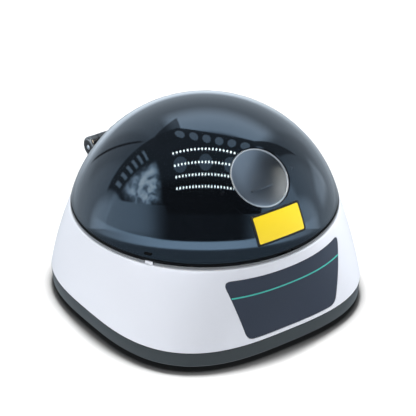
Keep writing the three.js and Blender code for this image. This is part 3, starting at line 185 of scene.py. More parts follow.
def combine(piece, others, operation):
    """Cuts other shapes out of a piece, or joins or crosses them with it, and clears them away."""
    for other in others:
        step = piece.modifiers.new(operation, "BOOLEAN")
        step.operation = operation
        step.solver = "EXACT"
        step.object = other
        settle(piece)
        bpy.data.objects.remove(other)
    return piece


def cut(piece, *cutters):
    """Cuts shapes out of a piece."""
    return combine(piece, cutters, "DIFFERENCE")


def joined(piece, *others):
    """Makes a piece and other shapes one."""
    return combine(piece, others, "UNION")


def eased(piece, width, segments=2, crease=38):
    """Rounds a piece's sharp edges as a mould does, and smooths the rest."""
    if width:
        step = piece.modifiers.new("edge", "BEVEL")
        step.width = width
        step.segments = segments
        step.limit_method = "ANGLE"
        step.angle_limit = math.radians(crease)
        step.use_clamp_overlap = True
        settle(piece)
    shape = bmesh.new()
    shape.from_mesh(piece.data)
    bmesh.ops.remove_doubles(shape, verts=shape.verts, dist=1e-6)
    for face in shape.faces:
        face.smooth = True
    for edge in shape.edges:
        edge.smooth = len(edge.link_faces) == 2 and edge.calc_face_angle(0) < math.radians(crease)
    shape.to_mesh(piece.data)
    shape.free()
    return piece


def colour(red, green, blue):
    """A colour read as 0 to 255 on a screen, in the light that the shader works in."""
    return tuple((c / 255) ** 2.2 for c in (red, green, blue)) + (1,)


def feed(node, inputs):
    """Sets a shader node's inputs, each to a plain value or to another node's output."""
    for name, value in inputs.items():
        if isinstance(value, bpy.types.NodeSocket):
            node.id_data.links.new(value, node.inputs[name])
        else:
            node.inputs[name].default_value = value


def add_node(tree, kind, inputs, **modes):
    """Adds a shader node in the modes given and feeds it."""
    node = tree.nodes.new("ShaderNode" + kind)
    for mode, choice in modes.items():
        setattr(node, mode, choice)
    feed(node, inputs)
    return node


def refined(material, inputs):
    """Feeds a material's own shader."""
    feed(material.node_tree.nodes["Principled BSDF"], inputs)
    return material


def moulded(name, tint, roughness, grain=900, depth=0.02 * mm, drift=0.06, metallic=0, coat=0, wear=0.12):
    """Plastic or metal with a fine grained skin and a slow drift in colour and polish."""
    material = bpy.data.materials.new(name)
    material.use_nodes = True
    tree = material.node_tree
    place = add_node(tree, "TexCoord", {}).outputs["Object"]
    slow = add_node(tree, "TexNoise", {"Vector": place, "Scale": 35, "Detail": 6}).outputs["Fac"]
    fine = add_node(tree, "TexNoise", {"Vector": place, "Scale": grain, "Detail": 3}).outputs["Fac"]
    shade = add_node(tree, "ValToRGB", {"Fac": slow})
    low, high = 0.3, 0.7
    for stop, position, level in zip(shade.color_ramp.elements, (low, high), (1 - drift, 1 + drift)):
        stop.position = position
        stop.color = tuple(min(1, c * level) for c in tint[:3]) + (1,)
    polish = add_node(tree, "MapRange", {
        "Value": slow, "From Min": low, "From Max": high,
        "To Min": roughness * (1 - wear), "To Max": roughness * (1 + wear),
    })
    bump = add_node(tree, "Bump", {"Strength": 0.5, "Distance": depth, "Height": fine})
    return refined(material, {
        "Metallic": metallic, "Coat Weight": coat, "Coat Roughness": 0.08,
        "Base Color": shade.outputs["Color"], "Roughness": polish.outputs["Result"],
        "Normal": bump.outputs["Normal"],
    })


def dress(piece, material, body, slot, *nodes):
    """Gives a new piece its finish and its body, and lets it stand for its plain nodes."""
    piece.data.materials.clear()
    piece.data.materials.append(material)
    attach(piece, body)
    if nodes:
        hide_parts(*nodes)


def finish_nodes(material, *nodes):
    """Gives plain nodes that keep their shape their finish."""
    for node in nodes:
        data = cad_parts[node].data
        data.materials.clear()
        data.materials.append(material)


def second_finish(piece, material, chosen):
    """Gives the faces whose middle passes a test a second finish."""
    piece.data.materials.append(material)
    for face in piece.data.polygons:
        face.material_index = 1 if chosen(face.center) else 0


lip_half = tray_half - lip_inset
tray = skinned("bottom_tray_skin", [
    rounded_square(tray_half - tray_lean - tray_chamfer, tray_power, tray_foot),
    rounded_square(tray_half - tray_lean, tray_power, tray_foot + tray_chamfer),
    rounded_square(tray_half, tray_power, tray_top),
    rounded_square(lip_half, tray_power, tray_top),
    rounded_square(lip_half, tray_power, tray_high[2]),
    rounded_square(lip_half - lip_wall, tray_power, tray_high[2]),
    rounded_square(lip_half - lip_wall, tray_power, tray_top),
    rounded_square(tray_half - tray_lean - tray_wall, tray_power, tray_foot + tray_wall),
])
corners = ("front_left", "front_right", "rear_right", "rear_left")


def middle(node):
    """The middle of a plain node's box."""
    low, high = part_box(node)
    return (Vector(low) + Vector(high)) / 2


for name in corners:
    foot, screw = middle("rubber_foot_" + name), middle("tray_screw_" + name)
    foot_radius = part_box("rubber_foot_" + name)[1][0] - foot.x
    joined(tray, post(screw, screw_boss, tray_foot + boss_low, tray_foot + boss_high))
    cut(tray, post(foot, foot_radius + clearance, 0, tray_foot + foot_bed),
        post(foot, foot_way, 0, tray_foot + foot_way_top),
        post(screw, screw_head_way, 0, tray_foot + screw_head_top),
        post(screw, screw_way, 0, tray_foot + screw_way_top))
eased(tray, 0.25 * mm)
tray_grey = moulded("grained_grey_plastic", colour(58, 64, 67), 0.42, grain=1500, depth=0.05 * mm)
dress(tray, tray_grey, "base", "grey_tray", "bottom_tray")

# Rubber feet
# Four black rubber discs, each pressed through the tray's floor by a stem of its own.
rubber = moulded("black_foot_rubber", colour(16, 16, 19), 0.8, grain=1100, depth=0.05 * mm)
foot_top, foot_stem, foot_dish = 3.7 * mm, 2.4 * mm, 0.4 * mm
foot_curve, foot_bend, foot_edge = 0.9 * mm, 0.25 * mm, 0.3 * mm
for name in corners:
    node = "rubber_foot_" + name
    spot, top = middle(node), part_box(node)[1]
    radius = top[0] - spot.x
    foot = turned(node + "_skin", [
        (0, foot_dish), (radius * 0.55, foot_dish), (radius * 0.6, 0), (radius - foot_curve, 0),
        (radius - foot_bend, foot_bend), (radius, foot_curve), (radius, foot_top - foot_edge),
        (radius - foot_edge, foot_top), (foot_stem, foot_top), (foot_stem, top[2]), (0, top[2]),
    ], 64)
    eased(moved(foot, Matrix.Translation((spot.x, spot.y, 0))), 0)
    dress(foot, rubber, "base", "foot_rubber", node)

# Upper housing
# One white glossy shell, a rounded square at its foot that turns into a circle at its top.
# A shallow bed in front takes the panel, and a flat pad behind takes the switch and inlet.
housing_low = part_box("upper_housing")[0]
housing_foot = tray_top + clearance
housing_top = housing_foot + 44.6 * mm
top_radius = 75.5 * mm
housing_wall = 2.5 * mm
bulge_power = 1.41
lip_radius = 69 * mm
lip_thickness = 2.5 * mm
foot_round, edge_round = 0.3 * mm, 1.0 * mm
roof_drop = 8 * mm


def housing_shape(z):
    """The half width and the corner power of the housing's skin at a height."""
    share = min(1, max(0, (z - housing_foot) / (housing_top - housing_foot)))
    half = tray_half + (top_radius - tray_half) * share ** bulge_power
    return half, tray_power + (2 - tray_power) * share


def housing_ring(z, inset=0):
    """A loop round the housing at a height, moved in by an inset."""
    half, power = housing_shape(z)
    return rounded_square(half - inset, power, z)


rows, edge_rows = 26, 5
rings = [housing_ring(housing_foot, foot_round), housing_ring(housing_foot + foot_round)]
edge_start = housing_top - edge_round
for i in range(1, rows + 1):
    rings.append(housing_ring(housing_foot + (edge_start - housing_foot) * i / rows))
for i in range(1, edge_rows + 1):
    turn = math.pi / 2 * i / edge_rows
    rings.append(housing_ring(edge_start + edge_round * math.sin(turn), edge_round * (1 - math.cos(turn))))
rings.append(rounded_square(lip_radius, 2, housing_top))
rings.append(rounded_square(lip_radius, 2, housing_top - lip_thickness))
wall_height = housing_top - roof_drop - housing_foot
for i in range(rows, -1, -2):
    rings.append(housing_ring(housing_foot + wall_height * i / rows, housing_wall))
housing = skinned("upper_housing_skin", rings, ends=False)

# Front panel
# A thin slate grey inlay that follows the housing's bulge, let in flush, with one turquoise
# line printed across it. The panel is bare otherwise.
panel_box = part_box("front_panel")
panel_low_z, panel_high_z = panel_box[0][2], panel_box[1][2]
panel_foot_half, panel_top_half, panel_corner = 30.0 * mm, 39.8 * mm, 4.2 * mm
panel_shift = (panel_box[0][0] + panel_box[1][0]) / 2
panel_thickness = 0.8 * mm
line_z, line_half, line_gap, line_proud, line_steps = 40.9 * mm, 0.4 * mm, 0.15 * mm, 0.03 * mm, 60


def panel_outline(margin, per_corner=9):
    """The panel's outline as pairs of x and z, grown all round by a margin."""
    low, high = panel_low_z - margin, panel_high_z + margin
    foot, top, r = panel_foot_half + margin, panel_top_half + margin, panel_corner + margin
    lean = (top - foot) / (high - low)
    bends = [
        ((foot - r, low), (foot, low), (foot + lean * r, low + r)),
        ((top - lean * r, high - r), (top, high), (top - r, high)),
        ((-top + r, high), (-top, high), (-top + lean * r, high - r)),
        ((-foot - lean * r, low + r), (-foot, low), (-foot + r, low)),
    ]
    points = []
    for (x0, z0), (x1, z1), (x2, z2) in bends:
        for i in range(per_corner + 1):
            t = i / per_corner
            a, b, c = (1 - t) ** 2, 2 * t * (1 - t), t * t
            points.append((a * x0 + b * x1 + c * x2, a * z0 + b * z1 + c * z2))
    # Long sides get points between the corners, so that the skin can follow the bulge
    full = []
    for i, (x, z) in enumerate(points):
        nx, nz = points[(i + 1) % len(points)]
        steps = max(1, round(math.hypot(nx - x, nz - z) / (2.5 * mm)))
        full += [(x + (nx - x) * s / steps, z + (nz - z) * s / steps) for s in range(steps)]
    return full


def on_housing(x, z, inset=0):
    """The point on the housing's front skin, moved in by an inset."""
    half, power = housing_shape(z)
    half -= inset
    depth = half * (1 - min(1, abs(x) / half) ** power) ** (1 / power)
    return Vector((x, rotor_y - depth, z))


def panel_solid(name, margin, outer, inner):
    """A slab of the panel's outline between two depths below the housing's skin."""
    outline = panel_outline(margin)
    middle_z = (panel_low_z + panel_high_z) / 2
    shares = [1, 0.985, 0.95, 0.88, 0.78, 0.66, 0.54, 0.42, 0.3, 0.2, 0.1]
    loops = []
    for share, inset in [(s, outer) for s in shares] + [(s, inner) for s in reversed(shares)]:
        spots = [(panel_shift + x * share, middle_z + (z - middle_z) * share) for x, z in outline]
        loops.append([on_housing(x, z, inset) for x, z in spots])
    return skinned(name, loops[len(shares):] + loops[:len(shares)])


# The housing gets the panel's bed, its rear pad, the ways for the rear pieces, the rim tab over
# the lid interlock and the posts that the tray's screws turn into
pad_half, pad_low_z, pad_high_z, pad_rim = 27 * mm, 19.6 * mm, 42.4 * mm, 1.5 * mm
switch_low, switch_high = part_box("power_switch_frame")
inlet_spot = middle("power_inlet")
bracket_low, bracket_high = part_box("hinge_bracket")
pad_back, pad_thick, far_back = switch_high[1] - 1.7 * mm, 3.5 * mm, 20 * mm
switch_slack_x, switch_slack_z, inlet_way, bed_front = 0.9 * mm, 0.6 * mm, 4.3 * mm, 3 * mm
bracket_way_height = 2.7 * mm
hook_half, hook_near, hook_far = 5.5 * mm, rotor_y - 68 * mm, rotor_y - 73 * mm
hook_depth, hook_over = 7.2 * mm, 2 * mm
screw_post, screw_post_gap, screw_hole = 4 * mm, 1 * mm, 12 * mm
joined(housing, block("pad", (-pad_half, pad_back - pad_thick, pad_low_z), (pad_half, pad_back, pad_high_z)))
to_inlet = Matrix.Translation((inlet_spot.x, pad_back, inlet_spot.z)) @ Matrix.Rotation(-math.pi / 2, 4, "X")
cut(housing, panel_solid("bed", clearance, -bed_front, panel_thickness + clearance),
    block("pad_bed", (pad_rim - pad_half, pad_back, pad_low_z + pad_rim),
          (pad_half - pad_rim, pad_back + far_back, pad_high_z - pad_rim)),
    block("switch_way",
          (switch_low[0] + switch_slack_x, pad_back - far_back / 2, switch_low[2] + switch_slack_z),
          (switch_high[0] - switch_slack_x, pad_back + far_back, switch_high[2] - switch_slack_z)),
    moved(bar(inlet_way, -far_back / 2, far_back), to_inlet),
    block("bracket_way", [reach - clearance for reach in bracket_low],
          (bracket_high[0] + clearance, bracket_high[1], bracket_low[2] + bracket_way_height)),
    block("hook_way", (-hook_half, hook_far, housing_top - hook_depth),
          (hook_half, hook_near, housing_top + hook_over)))
interlock_turn = math.radians(211.5)
across_rim = to_axis @ Matrix.Rotation(interlock_turn, 4, "Z")
tab_half, tab_low_r, tab_high_r, tab_rise = 2.2 * mm, 74.4 * mm, 75.1 * mm, 1.6 * mm
tab = block("tab", (tab_low_r, -tab_half, housing_top - clearance),
            (tab_high_r, tab_half, housing_top + tab_rise))
joined(housing, moved(tab, across_rim))
for name in corners:
    spot = middle("tray_screw_" + name)
    joined(housing, post(spot, screw_post, housing_low[2], housing_top - screw_post_gap, 24))
    cut(housing, post(spot, screw_way, housing_low[2] - screw_post_gap, housing_low[2] + screw_hole, 24))
eased(housing, 0.2 * mm, crease=32)
shell_white = moulded("white_shell_plastic", colour(232, 236, 246), 0.3, grain=260, depth=0.012 * mm,
                      drift=0.004, coat=0.25, wear=0.03)
dress(housing, shell_white, "base", "white_shell", "upper_housing")

panel = panel_solid("front_panel_skin", 0, 0, panel_thickness)
eased(panel, 0.12 * mm)
slate = moulded("slate_panel_film", colour(43, 51, 66), 0.5, grain=2200, depth=0.012 * mm, drift=0.04)
dress(panel, slate, "base", "panel_face", "front_panel")

lean = (panel_top_half - panel_foot_half) / (panel_high_z - panel_low_z)
line_reach = panel_foot_half + lean * (line_z - panel_low_z) - line_gap
line_low, line_high = line_z - line_half, line_z + line_half
section = ((line_low, -line_proud), (line_high, -line_proud), (line_high, line_proud), (line_low, line_proud))
line_rings = []
for i in range(line_steps + 1):
    x = panel_shift + line_reach * (2 * i / line_steps - 1)
    line_rings.append([on_housing(x, z, inset) for z, inset in section])
line = skinned("panel_line", line_rings)
eased(line, 0)
turquoise = moulded("turquoise_print", colour(66, 186, 172), 0.35, grain=1800, depth=0.004 * mm, drift=0.03)
dress(line, turquoise, "base", "panel_face")

# Seal ring
# A slim grey elastomer ring lies on the housing's top edge, just outside the bowl's flange. It
# is open where a white tab of the housing stands, over the lid interlock.
seal_low, seal_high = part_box("lid_seal_ring")
seal_outer, seal_width, bead, seal_edge = seal_high[0], 0.9 * mm, 0.3 * mm, 0.15 * mm
seal_inner = seal_outer - seal_width
gap_start, gap_end, gap_over, bead_steps = -2.5 * mm, 3.2 * mm, 1 * mm, 6
profile = [
    (seal_inner, seal_low[2]), (seal_outer - seal_edge, seal_low[2]), (seal_outer, seal_low[2] + seal_edge),
]
for i in range(bead_steps + 1):
    turn = math.pi * i / bead_steps
    profile.append((seal_outer - bead + bead * math.cos(turn), seal_high[2] - bead + bead * math.sin(turn)))
profile += [(seal_outer - 2 * bead, seal_high[2] - bead), (seal_inner, seal_high[2] - 1.4 * bead)]
seal = moved(turned("lid_seal_ring_skin", profile, 256), to_axis)
cut(seal, moved(block("gap", (seal_inner - gap_over, gap_start, seal_low[2] - gap_over),
                      (seal_outer + gap_over, gap_end, seal_high[2] + gap_over)), across_rim))
eased(seal, 0, crease=60)
seal_grey = moulded("grey_seal_rubber", colour(116, 120, 124), 0.35, grain=700, depth=0.01 * mm, drift=0.04)
dress(seal, seal_grey, "base", "seal", "lid_seal_ring")

# Chamber bowl
# The black bowl that the rotor turns in, moulded in one with its flange and the boss that the
# motor's shaft comes up through. It closes the housing's mouth.
flange_under = seal_low[2]
flange_top = flange_under + 1.7 * mm
flange_r, flange_edge = seal_inner - clearance, 0.3 * mm
bowl_floor, bowl_under = 40.5 * mm, 38.3 * mm
shaft_way, boss_under = 3.2 * mm, 42.3 * mm
above_flange, below_flange = flange_top + 2 * mm, flange_under - 2 * mm
plunger_way, catch_screw_way = 1.8 * mm, 1.3 * mm
slot_near, slot_far = rotor_y - 65.6 * mm, rotor_y - 74 * mm
damper_post, damper_low, damper_high = 3.5 * mm, 35.3 * mm, 38.6 * mm
bracket_post, bracket_post_low = 2.6 * mm, 53.3 * mm
bowl_curve = [
    (3.2, 4), (11, 4), (11.7, 3.8), (12, 3.2), (12.8, 0.5), (13.6, 0), (50.5, 0), (52.4, 0.5), (53.8, 1.6),
    (57.5, 6.2),
]
profile = [(r * mm, bowl_floor + z * mm) for r, z in bowl_curve]
profile += [
    (60 * mm, flange_top - 0.9 * mm), (60.25 * mm, flange_top - 0.25 * mm), (60.9 * mm, flange_top),
    (flange_r - flange_edge, flange_top), (flange_r, flange_top - flange_edge), (flange_r, flange_under),
    (62.2 * mm, flange_under), (59.7 * mm, 45.2 * mm), (52.8 * mm, bowl_under), (11 * mm, bowl_under),
    (9.8 * mm, boss_under), (shaft_way, boss_under),
]
bowl = moved(turned("chamber_bowl_skin", profile, 192), to_axis)
drills = [post(middle("interlock_plunger"), plunger_way, below_flange, above_flange)]
for side in ("left", "right"):
    drills.append(post(middle("catch_screw_" + side), catch_screw_way, below_flange, above_flange, 24))
drills.append(block("hook_slot", (-hook_half, slot_far, below_flange), (hook_half, slot_near, above_flange)))
cut(bowl, *drills)
damper_places = ("front_left", "front_right", "rear")
for name in damper_places:
    joined(bowl, post(middle("motor_damper_" + name), damper_post, damper_low, damper_high, 24))
for side in ("left", "right"):
    spot = middle("bracket_screw_" + side)
    joined(bowl, post(spot, bracket_post, bracket_post_low, flange_under + clearance, 24))
eased(bowl, 0.15 * mm)
chamber_black = moulded("black_chamber_plastic", colour(38, 40, 45), 0.4, grain=1300, depth=0.03 * mm)
dress(bowl, chamber_black, "base", "chamber", "chamber_bowl")

# Drive
# A round motor hangs from the bowl on a steel plate, three dampers and their screws. A brass
# collar on its shaft carries the rotor.
steel = moulded("zinc_plated_steel", colour(186, 189, 194), 0.3, grain=420, depth=0.008 * mm,
                drift=0.08, metallic=1)
spring_steel = moulded("drawn_spring_wire", colour(158, 161, 166), 0.32, grain=1500, depth=0.006 * mm,
                       metallic=1)
brass = moulded("turned_brass", colour(196, 164, 96), 0.26, grain=600, depth=0.006 * mm, metallic=1)
finish_nodes(steel, "drive_motor", "motor_plate", "motor_screw_left", "motor_screw_right", "motor_shaft",
             "inlet_nut", *["mount_screw_" + name for name in damper_places])
finish_nodes(rubber, *["motor_damper_" + name for name in damper_places])
finish_nodes(brass, "drive_collar")

# Tube rotor
# Eight places for small tubes, drilled square through the wall of a moulded cone. A hub drops
# over the collar and a round rim stiffens the edge.
rotor_low, rotor_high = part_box("tube_rotor")
web_z = rotor_high[2] - 21.5 * mm
wall_slant = 5 * mm * math.sqrt(0.5)
hub_way, hub_r = 4.2 * mm, 9 * mm
cone_in, cone_out = 14 * mm, 32.5 * mm
cone_top = web_z + cone_out - cone_in
rim_r, rim_width, rim_height, rim_edge = rotor_high[0], 2.6 * mm, 3 * mm, 0.5 * mm
rim_top, rim_in = cone_top + rim_height, rim_r - rim_width
profile = [
    (hub_way, rotor_low[2]), (hub_r, rotor_low[2]), (hub_r, web_z - wall_slant),
    (cone_in + wall_slant, web_z - wall_slant), (cone_out + wall_slant, cone_top - wall_slant),
    (rim_r, cone_top), (rim_r, rim_top - rim_edge),
    (rim_r - rim_edge, rim_top), (rim_in + rim_edge, rim_top), (rim_in, rim_top - rim_edge),
    (cone_out, cone_top), (cone_in, web_z), (hub_way, web_z),
]
rotor = turned("tube_rotor_skin", profile, 160)
socket_r, socket_half, socket_reach, sockets = 5.6 * mm, 10 * mm, 23.5 * mm, 8
socket_spot = Matrix.Translation((socket_reach, 0, web_z + socket_reach - cone_in))
socket_tilt = Matrix.Rotation(math.radians(-45), 4, "Y")
for i in range(sockets):
    turn = Matrix.Rotation(2 * math.pi * i / sockets, 4, "Z")
    cut(rotor, moved(bar(socket_r, -socket_half, socket_half), turn @ socket_spot @ socket_tilt))
eased(moved(rotor, to_axis), 0.25 * mm, 3)
rotor_plastic = moulded("dark_rotor_plastic", colour(52, 57, 64), 0.34, grain=800, depth=0.015 * mm)
dress(rotor, rotor_plastic, "rotor", "rotor_plastic", "tube_rotor")

# Rotor knob
# A fluted black nut that is screwed down on the collar by hand and holds the rotor.
knob_low, knob_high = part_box("rotor_knob")
knob_r, flute_r, flutes = knob_high[0], 1.3 * mm, 12
shaft_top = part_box("motor_shaft")[1][2]
knob_edge, knob_curve, knob_shoulder = 0.3 * mm, 1.2 * mm, 0.35 * mm
top_ring, top_slope, top_dip = 3 * mm, 0.4 * mm, 0.5 * mm
flute_foot, flute_over = 2 * mm, 1 * mm
knob = turned("rotor_knob_skin", [
    (0, shaft_top + clearance), (hub_way, shaft_top + clearance), (hub_way, knob_low[2]),
    (knob_r - knob_edge, knob_low[2]), (knob_r, knob_low[2] + knob_edge), (knob_r, knob_high[2] - knob_curve),
    (knob_r - knob_shoulder, knob_high[2] - knob_shoulder), (knob_r - knob_curve, knob_high[2]),
    (knob_r - top_ring, knob_high[2]), (knob_r - top_ring - top_slope, knob_high[2] - top_dip),
    (0, knob_high[2] - top_dip),
], 96)
for i in range(flutes):
    turn = 2 * math.pi * (i + 0.5) / flutes
    reach = knob_r + flute_r / 2
    spot = Vector((reach * math.cos(turn), reach * math.sin(turn), 0))
    cut(knob, post(spot, flute_r, knob_low[2] + flute_foot, knob_high[2] + flute_over, 24))
eased(moved(knob, to_axis), 0.15 * mm)
satin_black = moulded("satin_black_plastic", colour(30, 31, 35), 0.34, grain=1200, depth=0.02 * mm)
dress(knob, satin_black, "rotor", "black_plastic", "rotor_knob")

# Electrics in the base
# The board, its capacitor and terminal stand on the tray's posts, with leads to the motor and
# to the inlet.
board_green = moulded("lacquered_board", colour(38, 98, 68), 0.35, grain=300, depth=0.03 * mm, drift=0.2)
can_sleeve = moulded("capacitor_shrink_sleeve", colour(36, 46, 66), 0.3, grain=500, depth=0.01 * mm)
terminal_green = moulded("terminal_plastic", colour(62, 130, 92), 0.4, grain=900, depth=0.02 * mm)
lead_red = moulded("red_lead_sleeve", colour(160, 40, 36), 0.4, grain=900, depth=0.02 * mm)
finish_nodes(board_green, "control_board")
finish_nodes(can_sleeve, "board_capacitor")
finish_nodes(terminal_green, "board_terminal")
finish_nodes(lead_red, "motor_lead", "inlet_lead")

# Power inlet
# A round socket for a low voltage plug, with a steel centre pin, clamped through the pad.
pin_profile = [(0, -9.8), (1, -9.5), (1, -1.9), (0.7, -1.4), (0, -1.3)]
shell_profile = [
    (0, -13), (4, -13), (4, -1.4), (5.5, -1.4), (5.5, -0.4), (5.1, 0), (3.5, 0), (3.1, -0.4), (3.1, -9.5),
    (0, -9.5),
]
shell = turned("power_inlet_skin", [(r * mm, z * mm) for r, z in shell_profile], 64)
joined(shell, turned("inlet_pin", [(r * mm, z * mm) for r, z in pin_profile], 32))
inlet_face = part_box("power_inlet")[1][1]
to_rear = Matrix.Translation((inlet_spot.x, inlet_face, inlet_spot.z)) @ Matrix.Rotation(-math.pi / 2, 4, "X")
eased(moved(shell, to_rear), 0)
dress(shell, satin_black, "base", "black_plastic", "power_inlet")

# Power switch
# A black box with a bezel that snaps into the pad. Its rocker tips on two trunnions, and
# carries a plain bar and a ring for on and off.
bezel_y, bezel_depth = switch_high[1], 1.4 * mm
rocker_y = bezel_y - 1 * mm
rocker_spot = Vector(((switch_low[0] + switch_high[0]) / 2, rocker_y, (switch_low[2] + switch_high[2]) / 2))
switch_x, switch_z = rocker_spot.x, rocker_spot.z
well_half, well_depth, well_over = Vector((5.5, 0, 7.8)) * mm, 6.4 * mm, 2 * mm
box_half = Vector((6.4, 0, 8.3)) * mm
trunnion_r, trunnion_half, trunnion_way, way_half = 0.9 * mm, 6.4 * mm, 1.2 * mm, 9 * mm
bezel_low = (switch_low[0], bezel_y - bezel_depth, switch_low[2])
frame_piece = block("power_switch_frame_skin", bezel_low, switch_high)
joined(frame_piece, block("box", (switch_x - box_half.x, switch_low[1], switch_z - box_half.z),
                          (switch_x + box_half.x, rocker_y, switch_z + box_half.z)))
cut(frame_piece, block("well", (switch_x - well_half.x, rocker_y - well_depth, switch_z - well_half.z),
                       (switch_x + well_half.x, bezel_y + well_over, switch_z + well_half.z)))
sideways_turn = Matrix.Rotation(math.pi / 2, 4, "Y")
to_trunnions = Matrix.Translation(rocker_spot) @ sideways_turn
cut(frame_piece, moved(bar(trunnion_way, -way_half, way_half, 24), to_trunnions))
eased(frame_piece, 0.3 * mm, 3)
dress(frame_piece, satin_black, "base", "black_plastic", "power_switch_frame")

rocker_half_x, rocker_half_z, rocker_tip, rocker_depth = 5.2 * mm, 7.2 * mm, math.radians(10), 4 * mm
dish_foot, dish_rise, dish_power, face_steps = 1.0 * mm, 1.4 * mm, 1.6, 12
face = [(-rocker_half_z + 2 * rocker_half_z * i / face_steps) for i in range(face_steps + 1)]
outline = [(z, dish_foot + dish_rise * (abs(z) / rocker_half_z) ** dish_power) for z in face]
outline += [
    (rocker_half_z, 0), (rocker_half_z / 3, -rocker_depth), (-rocker_half_z / 3, -rocker_depth),
    (-rocker_half_z, 0),
]
ends = [[Vector((x, y, z)) for z, y in outline] for x in (-rocker_half_x, rocker_half_x)]
rocker = skinned("power_rocker_skin", ends)
joined(rocker, moved(bar(trunnion_r, -trunnion_half, trunnion_half, 24), sideways_turn))
tipped = Matrix.Translation(rocker_spot) @ Matrix.Rotation(rocker_tip, 4, "X")
eased(moved(rocker, tipped), 0.25 * mm, 3)
dress(rocker, satin_black, "power_rocker", "black_plastic", "power_rocker")

mark_white = moulded("white_switch_print", colour(225, 227, 230), 0.45, grain=1500, depth=0.004 * mm,
                     drift=0.02)
mark_share, mark_thick, ring_in, ring_out = 0.55, 0.06 * mm, 1.0 * mm, 1.35 * mm
mark_bar_half, mark_bar_reach = 0.2 * mm, 1.3 * mm
mark_rise = dish_foot + dish_rise * mark_share ** dish_power
slope = math.atan(dish_power * dish_rise * mark_share ** (dish_power - 1) / rocker_half_z)
ring_profile = [(ring_in, 0), (ring_out, 0), (ring_out, mark_thick), (ring_in, mark_thick)]
ring_mark = turned("rocker_off_mark", ring_profile, 48)
bar_mark = block("rocker_on_mark", (-mark_bar_half, -mark_bar_reach, 0),
                 (mark_bar_half, mark_bar_reach, mark_thick))
for mark, end in ((ring_mark, 1), (bar_mark, -1)):
    at = Matrix.Translation((0, mark_rise, end * mark_share * rocker_half_z))
    facing = Matrix.Rotation(-math.pi / 2 + end * slope, 4, "X")
    eased(moved(mark, tipped @ at @ facing), 0)
    dress(mark, mark_white, "power_rocker", "black_plastic")

# Hinge bracket
# A black moulding that is screwed up under the bowl, comes out through the housing's rear
# wall, and ends in two round ears for the hinge pin.
pin_spot = middle("hinge_pin")
ear_r, ear_inner, ear_edge, pin_way = 6 * mm, 18 * mm, 1.7 * mm, 1.8 * mm
plate_top = bracket_low[2] + 2.4 * mm
across = Matrix.Translation((0, pin_spot.y, pin_spot.z)) @ sideways_turn
leg_front, leg_back = rotor_y + 78.5 * mm, rotor_y + 85 * mm
ear_steps, ear_drill = 6, 30 * mm


def hinge_ear(near, far, side):
    """A round ear between two places on the pin, with its outer edge rounded."""
    profile = [(0, near), (ear_r, near)]
    for i in range(ear_steps + 1):
        turn = math.pi / 2 * i / ear_steps
        profile.append((ear_r - ear_edge * (1 - math.cos(turn)), far - ear_edge * (1 - math.sin(turn))))
    profile.append((0, far))
    return moved(turned("ear", profile), across @ Matrix.Rotation(math.pi if side < 0 else 0, 4, "Y"))


bracket = block("hinge_bracket_skin", bracket_low, (bracket_high[0], leg_back, plate_top))
for side in (-1, 1):
    near, far = sorted((side * ear_inner, side * bracket_high[0]))
    joined(bracket, block("leg", (near, leg_front, bracket_low[2]), (far, leg_back, pin_spot.z - ear_r / 2)),
           hinge_ear(ear_inner, bracket_high[0], side))
cut(bracket, moved(bar(pin_way, -ear_drill, ear_drill), across))
eased(bracket, 0.45 * mm, 3)
gloss_black = moulded("gloss_black_plastic", colour(15, 16, 19), 0.25, grain=500, depth=0.01 * mm)
dress(bracket, gloss_black, "base", "black_plastic", "hinge_bracket")
# The ears' rounded rims get a lighter black with a high IOR: a painted highlight along their outer edges
rim_painted_highlight = moulded("ear_rim_painted_highlight", colour(40, 44, 48), 0.2, grain=500, depth=0.005 * mm)
refined(rim_painted_highlight, {"IOR": 2.4})
rim_start = ear_r - ear_edge - 0.2 * mm
second_finish(bracket, rim_painted_highlight, lambda spot: abs(spot.x) > bracket_high[0] - ear_edge
              and math.hypot(spot.y - pin_spot.y, spot.z - pin_spot.z) > rim_start)

# The pin is a plain steel rod with bevelled ends
pin_r, pin_half, pin_edge = 1.5 * mm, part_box("hinge_pin")[1][0], 0.6 * mm
pin = turned("hinge_pin_skin", [
    (0, -pin_half), (pin_r / 2, -pin_half), (pin_r, -pin_half + pin_edge), (pin_r, pin_half - pin_edge),
    (pin_r / 2, pin_half), (0, pin_half),
], 48)
eased(moved(pin, across), 0)
dress(pin, steel, "base", "steel", "hinge_pin")

# Hinge spring
# A torsion spring of drawn wire lies round the hinge pin. One leg rests on the bracket and the
# other lifts the dome's edge once the latch lets go.


def coiled(name, points, wire_r, sides=12):
    """A round wire swept along points, with flat ends."""
    shape = bmesh.new()
    rows, side = [], None
    for i, point in enumerate(points):
        ahead = points[min(i + 1, len(points) - 1)] - points[max(i - 1, 0)]
        ahead.normalize()
        side = ahead.orthogonal() if side is None else side - ahead * side.dot(ahead)
        side.normalize()
        up = ahead.cross(side)
        turns = [2 * math.pi * k / sides for k in range(sides)]
        ring = [point + wire_r * (side * math.cos(t) + up * math.sin(t)) for t in turns]
        rows.append([shape.verts.new(spot) for spot in ring])
    for low, high in zip(rows, rows[1:]):
        for k in range(sides):
            n = (k + 1) % sides
            shape.faces.new((low[k], low[n], high[n], high[k]))
    shape.faces.new(rows[0])
    shape.faces.new(rows[-1])
    return keep(name, shape)


